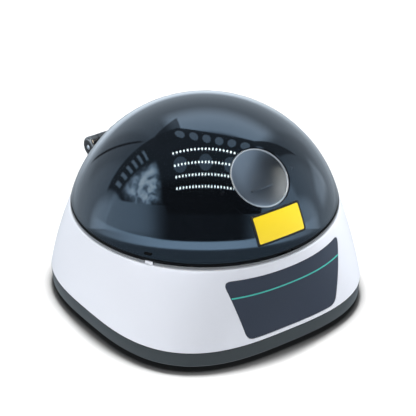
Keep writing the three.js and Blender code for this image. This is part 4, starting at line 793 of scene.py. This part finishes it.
coil_r, coil_half, coil_turns, coil_wire, turn_steps = 3.7 * mm, 7.4 * mm, 7.5, 0.5 * mm, 24
seat_z = plate_top + clearance + coil_wire - pin_spot.z
lift_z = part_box("dome_lid")[0][2] - coil_wire - pin_spot.z
path = [(-coil_half, -6 * mm, seat_z), (-coil_half, -3 * mm, seat_z * 0.8)]
count = int(turn_steps * coil_turns)
for i in range(count + 1):
    turn = 2 * math.pi * i / turn_steps
    path.append((-coil_half + 2 * coil_half * i / count, coil_r * math.sin(turn), -coil_r * math.cos(turn)))
path += [
    (coil_half, -2.2 * mm, 3.1 * mm), (coil_half, -4.3 * mm, 1.2 * mm),
    (coil_half, -4.8 * mm, lift_z + 0.4 * mm),
    (coil_half, -5.6 * mm, lift_z), (coil_half, -7.5 * mm, lift_z),
]
on_pin = Vector((0, pin_spot.y, pin_spot.z))
hinge_coil = coiled("hinge_spring_skin", [Vector(point) + on_pin for point in path], coil_wire)
eased(hinge_coil, 0)
dress(hinge_coil, spring_steel, "base", "spring_steel", "hinge_spring")

# Dome lid
# One thin shell of smoked see-through plastic, a slice of a ball. A sleeve moulded into it
# guides the press button.
dome_low, dome_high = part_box("dome_lid")
dome_r, dome_wall = 78.2 * mm, 2.5 * mm
dome_z = dome_high[2] - dome_r
dome_inner = dome_r - dome_wall
button_lean = math.radians(41.9)
button_r, sleeve_wall, sleeve_depth = 17.2 * mm, 1.8 * mm, 8 * mm
centre = Vector((0, rotor_y, dome_z))
to_centre = Matrix.Translation(centre)
press_frame = to_centre @ Matrix.Rotation(button_lean, 4, "X")
carrier_boss, arm_screw_hole, drill_over, button_over = 2.8 * mm, 1.7 * mm, 2 * mm, 5 * mm
sleeve_top = math.sqrt(dome_r ** 2 - (button_r + clearance) ** 2)
sleeve_foot = sleeve_top - sleeve_depth
sleeve_r = button_r + clearance + sleeve_wall
rows, last_row_share = 60, 0.45
outside, inside = [], []
for share in [i / rows for i in range(rows)] + [1 - last_row_share / rows, 1]:
    a = share * math.acos((dome_low[2] - dome_z) / dome_r)
    b = share * math.acos((dome_low[2] - dome_z) / dome_inner)
    outside.append((dome_r * math.sin(a), dome_r * math.cos(a)))
    inside.append((dome_inner * math.sin(b), dome_inner * math.cos(b)))
dome = moved(turned("dome_lid_skin", outside + inside[::-1], 256), to_centre)
sleeve_crown = math.sqrt(dome_inner ** 2 - sleeve_r ** 2) + 1 * mm
joined(dome, moved(bar(sleeve_r, sleeve_foot, sleeve_crown, 128), press_frame))
for side in ("left", "right"):
    x = middle("carrier_screw_" + side).x
    crown = math.sqrt(dome_inner ** 2 - x ** 2) + clearance
    at_screw = press_frame @ Matrix.Translation((x, 0, 0))
    joined(dome, moved(bar(carrier_boss, sleeve_foot, crown, 24), at_screw))
cut(dome, moved(bar(button_r + clearance, sleeve_foot - drill_over, dome_r + button_over, 128), press_frame))
arm_screw_turn, arm_screw_lean = math.radians(10), math.radians(-62)


def arm_screw_way(sign):
    """The axis of an arm screw, from the dome's centre outwards."""
    turn = Matrix.Rotation(-sign * arm_screw_turn, 4, "Z")
    return to_centre @ turn @ Matrix.Rotation(arm_screw_lean, 4, "X")


for sign in (-1, 1):
    drill = bar(arm_screw_hole, dome_inner - drill_over, dome_r + drill_over, 24)
    cut(dome, moved(drill, arm_screw_way(sign)))


def ball_shaded(piece, radii):
    """Lets the faces that lie on a ball about the dome's centre reflect as one true curve."""
    mesh = piece.data
    corner_slack, face_slack, least_facing = 0.02 * mm, 0.2 * mm, 0.97
    normals = []
    for face in mesh.polygons:
        face_reach = (face.center - centre).length
        for index in face.loop_indices:
            spot = mesh.vertices[mesh.loops[index].vertex_index].co - centre
            away = spot.normalized()
            facing = face.normal.dot(away)
            on_ball = any(abs(spot.length - radius) < corner_slack and abs(face_reach - radius) < face_slack
                          for radius in radii)
            if on_ball and abs(facing) > least_facing:
                normals.append(away * math.copysign(1, facing))
            else:
                normals.append(mesh.corner_normals[index].vector.copy())
    mesh.normals_split_custom_set(normals)


def smoked(name, tint, through, roughness, ripple):
    """Dark clear plastic: polished, faintly rippled, and see-through only where light is strong."""
    return refined(moulded(name, tint, roughness, grain=18, depth=ripple, drift=0.05), {
        "Transmission Weight": through, "IOR": 1.58, "Specular IOR Level": 0.68,
        "Specular Tint": (0.56, 0.78, 1, 1),
    })


eased(dome, 0.3 * mm, 3, crease=32)
ball_shaded(dome, (dome_r, dome_inner))
smoked_dome = smoked("smoked_dome_plastic", colour(46, 51, 58), 0.85, 0.02, 0.015 * mm)
dress(dome, smoked_dome, "lid", "smoked_dome", "dome_lid")
# The dome's last half millimetre at its foot is painted black: painted shade for the dark gap between the
# dome and the seal ring
dome_foot_painted_shade = moulded("dome_foot_painted_shade_black", colour(5, 6, 7), 0.6, grain=400, depth=0.01 * mm)
refined(dome_foot_painted_shade, {"Specular IOR Level": 0.1})
painted_shade_height = 0.5 * mm
second_finish(dome, dome_foot_painted_shade, lambda spot: spot.z < dome_low[2] + painted_shade_height)

# Dome sticker
# A plain yellow film with a black border, stuck to the dome below the button.
sticker_half_x, sticker_half_z, sticker_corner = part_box("dome_sticker")[1][0], 8.4 * mm, 1.2 * mm
border, film_edge = 1.15 * mm, 0.1 * mm
sticker_lean = math.radians(61.7)
sticker_frame = to_centre @ Matrix.Rotation(sticker_lean, 4, "X")


def sticker_loop(half_x, half_y, r, reach, steps=6, side_steps=14):
    """A loop of the sticker's outline, laid on the dome at a reach from its centre."""
    points = []
    for sx, sy, start in ((1, -1, -0.5), (1, 1, 0), (-1, 1, 0.5), (-1, -1, 1)):
        for i in range(steps + 1):
            turn = math.pi * (start + i / steps / 2)
            points.append((sx * (half_x - r) + r * math.cos(turn), sy * (half_y - r) + r * math.sin(turn)))
    full = []
    for i, (x, y) in enumerate(points):
        nx, ny = points[(i + 1) % len(points)]
        count = side_steps if i % (steps + 1) == steps else 1
        full += [(x + (nx - x) * s / count, y + (ny - y) * s / count) for s in range(count)]
    return [Vector((x, y, math.sqrt(reach ** 2 - x * x - y * y))) for x, y in full]


face_reach, back_reach = dome_r + clearance + 0.25 * mm, dome_r + 0.05 * mm
field_x, field_z, field_corner = sticker_half_x - border, sticker_half_z - border, sticker_corner * 0.6
loops = [
    sticker_loop(sticker_half_x * 0.1, sticker_half_z * 0.1, sticker_corner * 0.1, back_reach),
    sticker_loop(sticker_half_x, sticker_half_z, sticker_corner, back_reach),
    sticker_loop(sticker_half_x, sticker_half_z, sticker_corner, face_reach - film_edge),
    sticker_loop(sticker_half_x - film_edge, sticker_half_z - film_edge, sticker_corner, face_reach),
]
for share in (1, 0.85, 0.65, 0.45, 0.25, 0.1):
    loops.append(sticker_loop(field_x * share, field_z * share, field_corner * share, face_reach))
sticker = skinned("dome_sticker_film", loops)
eased(moved(sticker, sticker_frame), 0)
yellow = moulded("yellow_sticker_film", colour(255, 221, 40), 0.38, grain=700, depth=0.008 * mm, drift=0.03)
border_black = moulded("black_sticker_border", colour(12, 12, 14), 0.7, grain=700, depth=0.008 * mm)
dress(sticker, yellow, "lid", "sticker", "dome_sticker")
to_sticker = sticker_frame.inverted()


def on_border(spot):
    """Whether a place lies on the sticker's border."""
    spot = to_sticker @ spot
    return abs(spot.x) >= field_x or abs(spot.y) >= field_z


second_finish(sticker, border_black, on_border)

# Press button
# A dished smoked cap that slides in the dome's sleeve. A turned lip runs round it, painted light grey as a
# painted highlight; a bar is moulded across its dish, and a stem under it works the latch.
button_top = sleeve_top - 0.4 * mm
dish_z, under_z = button_top - 2.9 * mm, button_top - 3.6 * mm
carrier_top = sleeve_foot - clearance
stem_r, stem_tip_r, stem_tip, stem_reach = 3 * mm, 1.5 * mm, 1 * mm, 2 * mm
stem_foot = carrier_top - stem_reach - clearance - stem_tip
skirt_r, skirt_rise = button_r - 2 * mm, 1.1 * mm
lip_in, lip_round, lip_height = button_r - 1.1 * mm, 0.55 * mm, 0.5 * mm
rim_z, dish_power, lip_steps, dish_steps = button_top - 0.6 * mm, 2.4, 8, 18
profile = [
    (0, stem_foot), (stem_tip_r, stem_foot), (stem_tip_r, stem_foot + stem_tip),
    (stem_r, stem_foot + stem_tip), (stem_r, under_z), (skirt_r, under_z + skirt_rise), (skirt_r, under_z),
    (button_r, under_z), (button_r, button_top - lip_height),
]
for i in range(1, lip_steps):
    turn = math.pi * i / lip_steps
    profile.append((button_r - lip_round + lip_round * math.cos(turn),
                    button_top - lip_height + lip_height * math.sin(turn)))
for i in range(dish_steps + 1):
    share = 1 - i / dish_steps
    profile.append((lip_in * share, dish_z + (rim_z - dish_z) * share ** dish_power))
button = turned("press_button_skin", profile, 128)
bar_half, bar_low, bar_high, bar_root, bar_rise = 7 * mm, -5.65 * mm, -4.75 * mm, 1 * mm, 1.15 * mm
joined(button, block("ridge", (-bar_half, bar_low, dish_z - bar_root),
                     (bar_half, bar_high, dish_z + bar_rise)))
eased(moved(button, press_frame), 0.12 * mm, 3, crease=42)
smoked_button = smoked("smoked_button_plastic", colour(30, 33, 38), 0.2, 0.3, 0.02 * mm)
refined(smoked_button, {"Specular IOR Level": 1.0, "Specular Tint": (0.7, 0.84, 1, 1), "IOR": 1.75})
dress(button, smoked_button, "press_button", "smoked_button", "press_button")
# The lip's light grey, half metallic finish is a painted highlight on the cap's rounded edge
lip_painted_highlight = moulded("button_lip_painted_highlight", colour(168, 176, 184), 0.22, grain=600, depth=0.006 * mm,
                    metallic=0.5)
to_button = press_frame.inverted()


def on_lip(spot):
    """Whether a place lies on the button's lip, which carries the painted highlight."""
    spot = to_button @ spot
    return math.hypot(spot.x, spot.y) > lip_in and spot.z > button_top - lip_round


second_finish(button, lip_painted_highlight, on_lip)

# Button spring
# Two turns of thin wire between the latch carrier and the button, which press it back up.
spring_r, spring_wire, spring_turns, spring_gap = 6.2 * mm, 0.4 * mm, 2, 0.7 * mm
low_z, high_z = carrier_top + spring_gap, under_z - spring_gap
count = turn_steps * spring_turns
path = []
for i in range(count + 1):
    turn = 2 * math.pi * i / turn_steps
    point = (spring_r * math.cos(turn), spring_r * math.sin(turn), low_z + (high_z - low_z) * i / count)
    path.append(press_frame @ Vector(point))
button_coil = coiled("button_spring_skin", path, spring_wire)
eased(button_coil, 0)
dress(button_coil, spring_steel, "lid", "spring_steel", "button_spring")
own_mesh(button_coil)

# Latch
# A carrier screwed under the sleeve holds the lever's pin. The lever hooks under a steel
# catch below the bowl's flange, and lets go when the button's stem pushes it.
finish_nodes(satin_black, "latch_carrier", "latch_lever", "interlock_striker", "interlock_switch")
finish_nodes(steel, "latch_catch", "lever_pin", "carrier_screw_left", "carrier_screw_right",
             "bracket_screw_left", "bracket_screw_right")
finish_nodes(seal_grey, "interlock_plunger")

# Striker rivet
# The striker that works the lid's interlock is riveted through the dome, just above its edge.
# The rivet's flat black head shows on the outside.
rivet_half, rivet_width, rivet_rise, rivet_thick = 2.2 * mm, 0.7 * mm, 2.8 * mm, 0.5 * mm
rivet_root, rivet_shift = 0.4 * mm, math.radians(0.7)
rivet_tilt = math.acos((dome_low[2] + rivet_rise - dome_z) / dome_r)
rivet = block("striker_rivet", (-rivet_width, -rivet_half, dome_r - rivet_root),
              (rivet_width, rivet_half, dome_r + rivet_thick))
rivet_turn = Matrix.Rotation(interlock_turn - rivet_shift, 4, "Z") @ Matrix.Rotation(rivet_tilt, 4, "Y")
eased(moved(rivet, to_centre @ rivet_turn), 0.3 * mm, 3)
rivet_black = moulded("black_rivet_head", colour(5, 5, 6), 0.6, grain=800, depth=0.005 * mm)
refined(rivet_black, {"Specular IOR Level": 0.1})
dress(rivet, rivet_black, "lid", "black_plastic")

# Lid arm
# A black moulding that hugs the dome's back. Two knuckles on it turn on the hinge pin, and
# two screws hold it from inside the dome.
arm_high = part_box("lid_hinge_arm")[1]
arm_half, arm_gap = arm_high[0], 8.5 * mm
arm_pad, arm_foot = 3.6 * mm, dome_low[2] + clearance
rib_front, foot_back = rotor_y + 72.5 * mm, rotor_y + 75.8 * mm
arm_over, pin_way_half, beyond = 5 * mm, 25 * mm, arm_half + 1 * mm


def ball(radius, sides=192, rows=96):
    """A whole ball about the dome's centre."""
    turns = [math.pi * i / rows for i in range(rows + 1)]
    profile = [(radius * math.sin(t), -radius * math.cos(t)) for t in turns]
    profile[0], profile[-1] = (0, -radius), (0, radius)
    return moved(turned("ball", profile, sides), to_centre)


arm = ball(dome_r + clearance + arm_pad)
bounds = block("arm_bounds", (-arm_half, rotor_y, arm_foot), (arm_half, arm_high[1] + arm_over, arm_high[2]))
combine(arm, [bounds], "INTERSECT")
for side in (-1, 1):
    near, far = sorted((side * arm_gap, side * arm_half))
    joined(arm, block("rib", (near, rib_front, arm_foot), (far, pin_spot.y, pin_spot.z + ear_r)))
    joined(arm, hinge_ear(arm_gap, arm_half, side))
cut(arm, ball(dome_r + clearance), moved(bar(pin_way, -pin_way_half, pin_way_half), across))
cut(arm, block("foot_cut", (-beyond, rotor_y, 0), (beyond, foot_back, arm_foot)))
eased(arm, 0.45 * mm, 3, crease=34)
arm.name = "lid_hinge_arm_skin"
dress(arm, gloss_black, "lid", "black_plastic", "lid_hinge_arm")

# Screws that show
# Pan head screws with a cross recess: under the tray, on the bowl's flange and inside the dome.


def pan_screw(node, head_r, head_h, shank_r, length, matrix, body):
    """A screw whose head stands up from height zero and whose shank goes down."""
    screw = turned(node + "_skin", [
        (0, -length), (shank_r * 0.6, -length), (shank_r, -length + shank_r), (shank_r, 0), (head_r, 0),
        (head_r, head_h * 0.45), (head_r * 0.93, head_h * 0.75), (head_r * 0.75, head_h * 0.95),
        (head_r * 0.5, head_h), (0, head_h),
    ], 40)
    reach, half, low, high = head_r * 0.55, head_r * 0.16, head_h * 0.4, head_h * 1.2
    cut(screw, block("slot", (-reach, -half, low), (reach, half, high)),
        block("slot", (-half, -reach, low), (half, reach, high)))
    eased(moved(screw, matrix), 0)
    dress(screw, steel, body, "steel", node)


turned_over = Matrix.Rotation(math.pi, 4, "X")
tray_seat, arm_screw_length = 2.7 * mm, 5.4 * mm
for name in corners:
    node = "tray_screw_" + name
    spot, seat = middle(node), tray_foot + tray_seat
    place = Matrix.Translation((spot.x, spot.y, seat)) @ turned_over
    pan_screw(node, 2.9 * mm, 1.8 * mm, 1.4 * mm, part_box(node)[1][2] - seat, place, "base")
for side, sign in (("left", -1), ("right", 1)):
    node = "catch_screw_" + side
    spot, seat = middle(node), flange_top + clearance
    place = Matrix.Translation((spot.x, spot.y, seat))
    pan_screw(node, 2 * mm, 1.1 * mm, 1 * mm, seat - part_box(node)[0][2], place, "base")
    inward = arm_screw_way(sign) @ Matrix.Translation((0, 0, dome_inner - 2 * clearance)) @ turned_over
    pan_screw("arm_screw_" + side, 2.8 * mm, 1.5 * mm, 1.4 * mm, arm_screw_length, inward, "lid")

# Studio
# A pale floor runs out to a white surround, as in a light tent. The side that the camera
# looks in through is open and dark, which shows in the polished dome.
floor_reach, floor_depth, floor_gap = 1.3, 2 * mm, 0.05 * mm
floor = turned("floor", [(0, -floor_depth), (floor_reach, -floor_depth), (floor_reach, 0), (0, 0)], 96)
moved(floor, Matrix.Translation((0, 0, -floor_gap)))
paper = moulded("white_paper_floor", colour(247, 247, 247), 0.9, grain=200, depth=0.01 * mm, drift=0.004)
# Painted contact shadow: the paper's colour and its lift darken where something stands close above it
tree = paper.node_tree
nearby = add_node(tree, "AmbientOcclusion", {"Distance": 20 * mm}).outputs["AO"]
openness = add_node(tree, "MapRange", {
    "Value": nearby, "From Min": 0.4, "From Max": 0.8, "To Min": 0.02, "To Max": 1.0,
}, interpolation_type="SMOOTHSTEP").outputs["Result"]
paper_colour = tree.nodes["Principled BSDF"].inputs["Base Color"].links[0].from_socket
paper_with_painted_shadow = add_node(tree, "Mix", {
    "A": (0, 0, 0, 1), "B": paper_colour, "Factor": openness,
}, data_type="RGBA").outputs["Result"]
camera_ray = add_node(tree, "LightPath", {}).outputs["Is Camera Ray"]
lift = add_node(tree, "Math", {0: camera_ray, 1: 0.03}, operation="MULTIPLY").outputs["Value"]
lift_with_painted_shadow = add_node(tree, "Math", {0: lift, 1: openness}, operation="MULTIPLY").outputs["Value"]
refined(paper, {
    "Base Color": paper_with_painted_shadow, "Emission Color": (1, 1, 1, 1), "Emission Strength": lift_with_painted_shadow,
})
floor.data.materials.append(paper)
floor.visible_glossy = floor.visible_transmission = False

# Tent
# The surround is plain white to the eye. What the polished plastic mirrors is a light tent:
# pale walls, an open front with a dark room behind it, and four strips of small lamps.
world = bpy.data.worlds.new("tent")
bpy.context.scene.world = world
world.use_nodes = True
tent = world.node_tree
tent.nodes.clear()
ray = add_node(tent, "TexCoord", {}).outputs["Generated"]


def number(operation, first, second=0):
    """One sum between two sockets or plain numbers."""
    return add_node(tent, "Math", {0: first, 1: second}, operation=operation).outputs["Value"]


def chained(operation, values):
    """The same sum over any count of sockets or plain numbers."""
    total = values[0]
    for value in values[1:]:
        total = number(operation, total, value)
    return total


def product(*values):
    """All the values multiplied together."""
    return chained("MULTIPLY", values)


def total_of(*values):
    """All the values added up."""
    return chained("ADD", values)


def less(first, second):
    """The first value less the second."""
    return number("SUBTRACT", first, second)


def between(value, low, high, to_low=0.0, to_high=1.0):
    """A soft step from one level to another."""
    levels = {"Value": value, "From Min": low, "From Max": high, "To Min": to_low, "To Max": to_high}
    return add_node(tent, "MapRange", levels, interpolation_type="SMOOTHSTEP").outputs["Result"]


def within(value, low, high, soft):
    """One inside a span and zero outside it, with soft edges."""
    return product(between(value, low - soft, low + soft), between(value, high - soft, high + soft, 1.0, 0.0))


def along(axis):
    """How far a ray points along an axis of the tent, from -1 to 1."""
    return add_node(tent, "VectorMath", {0: ray, 1: tuple(axis)}, operation="DOT_PRODUCT").outputs["Value"]


# The tent is laid out by its front opening: sideways from -1 to 1, spread as its size, and rise
# as the angle in degrees above the line that looks straight out
turn_cos, turn_sin = math.cos(camera_turn), math.sin(camera_turn)
dip_cos, dip_sin = math.cos(camera_dip), math.sin(camera_dip)
upward_axis, outward_axis = Vector((dip_sin * turn_sin, dip_sin * turn_cos, dip_cos)), -sight
sideways, upward, outward = along((turn_cos, -turn_sin, 0)), along(upward_axis), along(outward_axis)
rise = product(number("ARCTAN2", upward, outward), 180 / math.pi)
spread = number("ABSOLUTE", sideways)
sill_lean = math.radians(12.8)
sill_height = along(upward_axis * math.cos(sill_lean) + outward_axis * math.sin(sill_lean))

# The opening has an arched roof edge, a stepped sill and a shaded foot
edge_soft = 0.012
off_middle = less(sideways, 0.17)
roof_arch = less(0.078, product(off_middle, off_middle, 0.94))
roof_end = less(0.77, product(sideways, 1.6))
roof_edge = number("MINIMUM", number("MAXIMUM", roof_arch, -0.1), roof_end)
sill_edge = between(sideways, -0.53, -0.49, 0.315, 0.2)
window = product(between(less(outward, roof_edge), -edge_soft, edge_soft),
                 between(less(upward, sill_edge), -edge_soft, edge_soft),
                 within(sideways, -0.925, 0.72, edge_soft))
shade = product(within(rise, -9.5, 30, 1.0), between(spread, 0.46, 0.74, 0.92, 0.0))
opening = number("MAXIMUM", window, shade)

# The walls are lit from outside, most where they are nearest to a lamp
wall_level = 0.86
sill_glow = product(within(sill_height, -0.06, 0.056, 0.014), between(outward, -0.35, 0.1),
                    between(outward, 0.0, 1.0, 1.2, 3.6))
back_glow = product(within(rise, 153, 166, 4), within(sideways, -0.45, 0.2, 0.15))
roof_glow = product(between(rise, 84, 90), between(rise, 103, 124, 1.0, 0.0),
                    within(sideways, -0.32, 0.56, 0.06))
side_glow = product(between(spread, 0.55, 0.85), within(rise, -6, 82, 8))
side_rim = product(between(spread, 0.93, 0.98), between(rise, 60, 90))
side_far = product(between(spread, 0.72, 0.92), between(rise, 80, 95))
right_glow = product(within(sideways, 0.68, 0.88, 0.04), within(rise, 141, 160, 5))
folds = product(within(spread, 0.52, 0.78, 0.04), within(rise, 95, 150, 6))
table = between(sill_height, -0.1, -0.06, 1.0, 0.0)
walls = total_of(wall_level, product(roof_glow, 2.0), product(back_glow, 0.9), side_glow,
                 product(side_rim, 1.2), product(side_far, 0.2), product(right_glow, 0.75),
                 product(folds, -0.2), product(table, -0.3), sill_glow)

# A dark flap hangs by the roof and a seam runs down the left wall
flap_top = total_of(121, product(sideways, 50))
flap = product(within(sideways, -0.47, -0.235, 0.008), between(less(rise, flap_top), -0.8, 0.8, 1.0, 0.0),
               between(rise, 80, 84))
seam_rise = less(rise, 128)
seam_bend = product(seam_rise, seam_rise, 0.0001)
seam = product(within(less(sideways, seam_bend), -0.665, -0.641, 0.008), within(rise, 101, 155, 4))
lined = product(walls, less(1.0, product(flap, 0.72)), less(1.0, product(seam, 0.85)))

# A pale curtain hangs in the room, at the left of the opening
cloud = add_node(tent, "TexNoise", {"Vector": ray, "Scale": 9, "Detail": 3, "Distortion": 0.5}).outputs["Fac"]
curtain = product(within(sideways, -0.86, -0.58, 0.05), within(rise, 28, 66, 7),
                  between(cloud, 0.36, 0.66, 0.2, 1.0), 6.5)


def round_holes(first, pitch, last, level, radius):
    """A row of round holes along the tent, as a mask of soft discs."""
    step = number("FRACT", number("DIVIDE", less(sideways, first - pitch / 2), pitch))
    across_hole = product(less(step, 0.5), pitch)
    up_hole = product(level, math.radians(0.62))
    reach = number("SQRT", total_of(product(across_hole, across_hole), product(up_hole, up_hole)))
    disc = between(reach, radius - 0.004, radius + 0.004, 1.0, 0.0)
    return product(disc, within(sideways, first - pitch / 2, last + pitch / 2, 0.005))


# The lamps' frame has two rows of round holes, and slots at its left end
off_row = less(sideways, 0.19)
row_level = less(rise, total_of(77.8, product(off_row, off_row, 50)))
small_holes = round_holes(-0.254, 0.137, 0.705, row_level, 0.046)
large_holes = round_holes(-0.3, 0.31, 0.32, less(rise, 56.5), 0.083)
slot_wave = number("SINE", product(total_of(sideways, 0.898), 2 * math.pi / 0.052))
slots = product(between(slot_wave, -0.1, 0.5), within(sideways, -0.9, -0.6, 0.005), within(rise, 75, 89, 2))
haze = between(rise, 36, 52, 0.0, 0.16)
lamp_rises, lamp_half, lamp_soft, lamp_level = (35.2, 45.6, 56.5, 69.0), 1.0, 0.6, 40
lamp_rows = [within(rise, level - lamp_half, level + lamp_half, lamp_soft) for level in lamp_rises]
beads = between(number("SINE", product(sideways, 151)), -0.2, 0.8)
strips = product(total_of(*lamp_rows), between(spread, 0.375, 0.39, 1.0, 0.0), beads)
room = total_of(haze, curtain, product(small_holes, 1.3), product(large_holes, 0.8), product(slots, 1.5))
seen = total_of(product(lined, less(1.0, product(opening, 0.97))), product(room, window),
                product(strips, lamp_level))

# Polished and clear surfaces see the tent, dull ones a dim even light, and the eye plain white
kinds = add_node(tent, "LightPath", {}).outputs
ambient = 0.16
mirror = number("MAXIMUM", kinds["Is Glossy Ray"], kinds["Is Transmission Ray"])
plain = total_of(product(mirror, seen), product(less(1.0, mirror), ambient))
strength = total_of(kinds["Is Camera Ray"], product(less(1.0, kinds["Is Camera Ray"]), plain))


def mixed(first, second, factor):
    """One colour turned into another by a factor."""
    colours = {"A": first, "B": second, "Factor": factor}
    return add_node(tent, "Mix", colours, data_type="RGBA").outputs["Result"]


white, daylight, lamplight = (1, 1, 1, 1), (0.82, 0.93, 1.04, 1), (1.0, 0.84, 0.66, 1)
warmth = between(total_of(strips, product(curtain, 0.035)), 0.05, 0.4)
tint = mixed(mixed(white, daylight, mirror), lamplight, product(mirror, warmth))
back = add_node(tent, "Background", {"Color": tint, "Strength": strength})
tent.links.new(back.outputs["Background"], tent.nodes.new("ShaderNodeOutputWorld").inputs["Surface"])

# Lamps
# Three soft boxes outside the tent: a main one overhead and behind, and a weaker one each side.


def soft_box(name, power, size, spot):
    """A square lamp that looks at the instrument's middle and shows in no reflection."""
    lamp = bpy.data.objects.new(name, bpy.data.lights.new(name, "AREA"))
    lamp.data.energy = power
    lamp.data.size = size
    lamp.location = spot
    lamp.rotation_euler = (Vector((0, 0, 60 * mm)) - Vector(spot)).to_track_quat("-Z", "Y").to_euler()
    lamp.visible_glossy = lamp.visible_transmission = False
    bpy.context.collection.objects.link(lamp)


soft_box("key_box", 68.0, 0.35, (0.26, 0.37, 2.56))
soft_box("right_box", 12.5, 0.5, (1.35, -0.7, 0.25))
soft_box("left_box", 8.0, 0.5, (-1.42, -0.05, 0.25))
bpy.context.scene.view_settings.view_transform = "Standard"
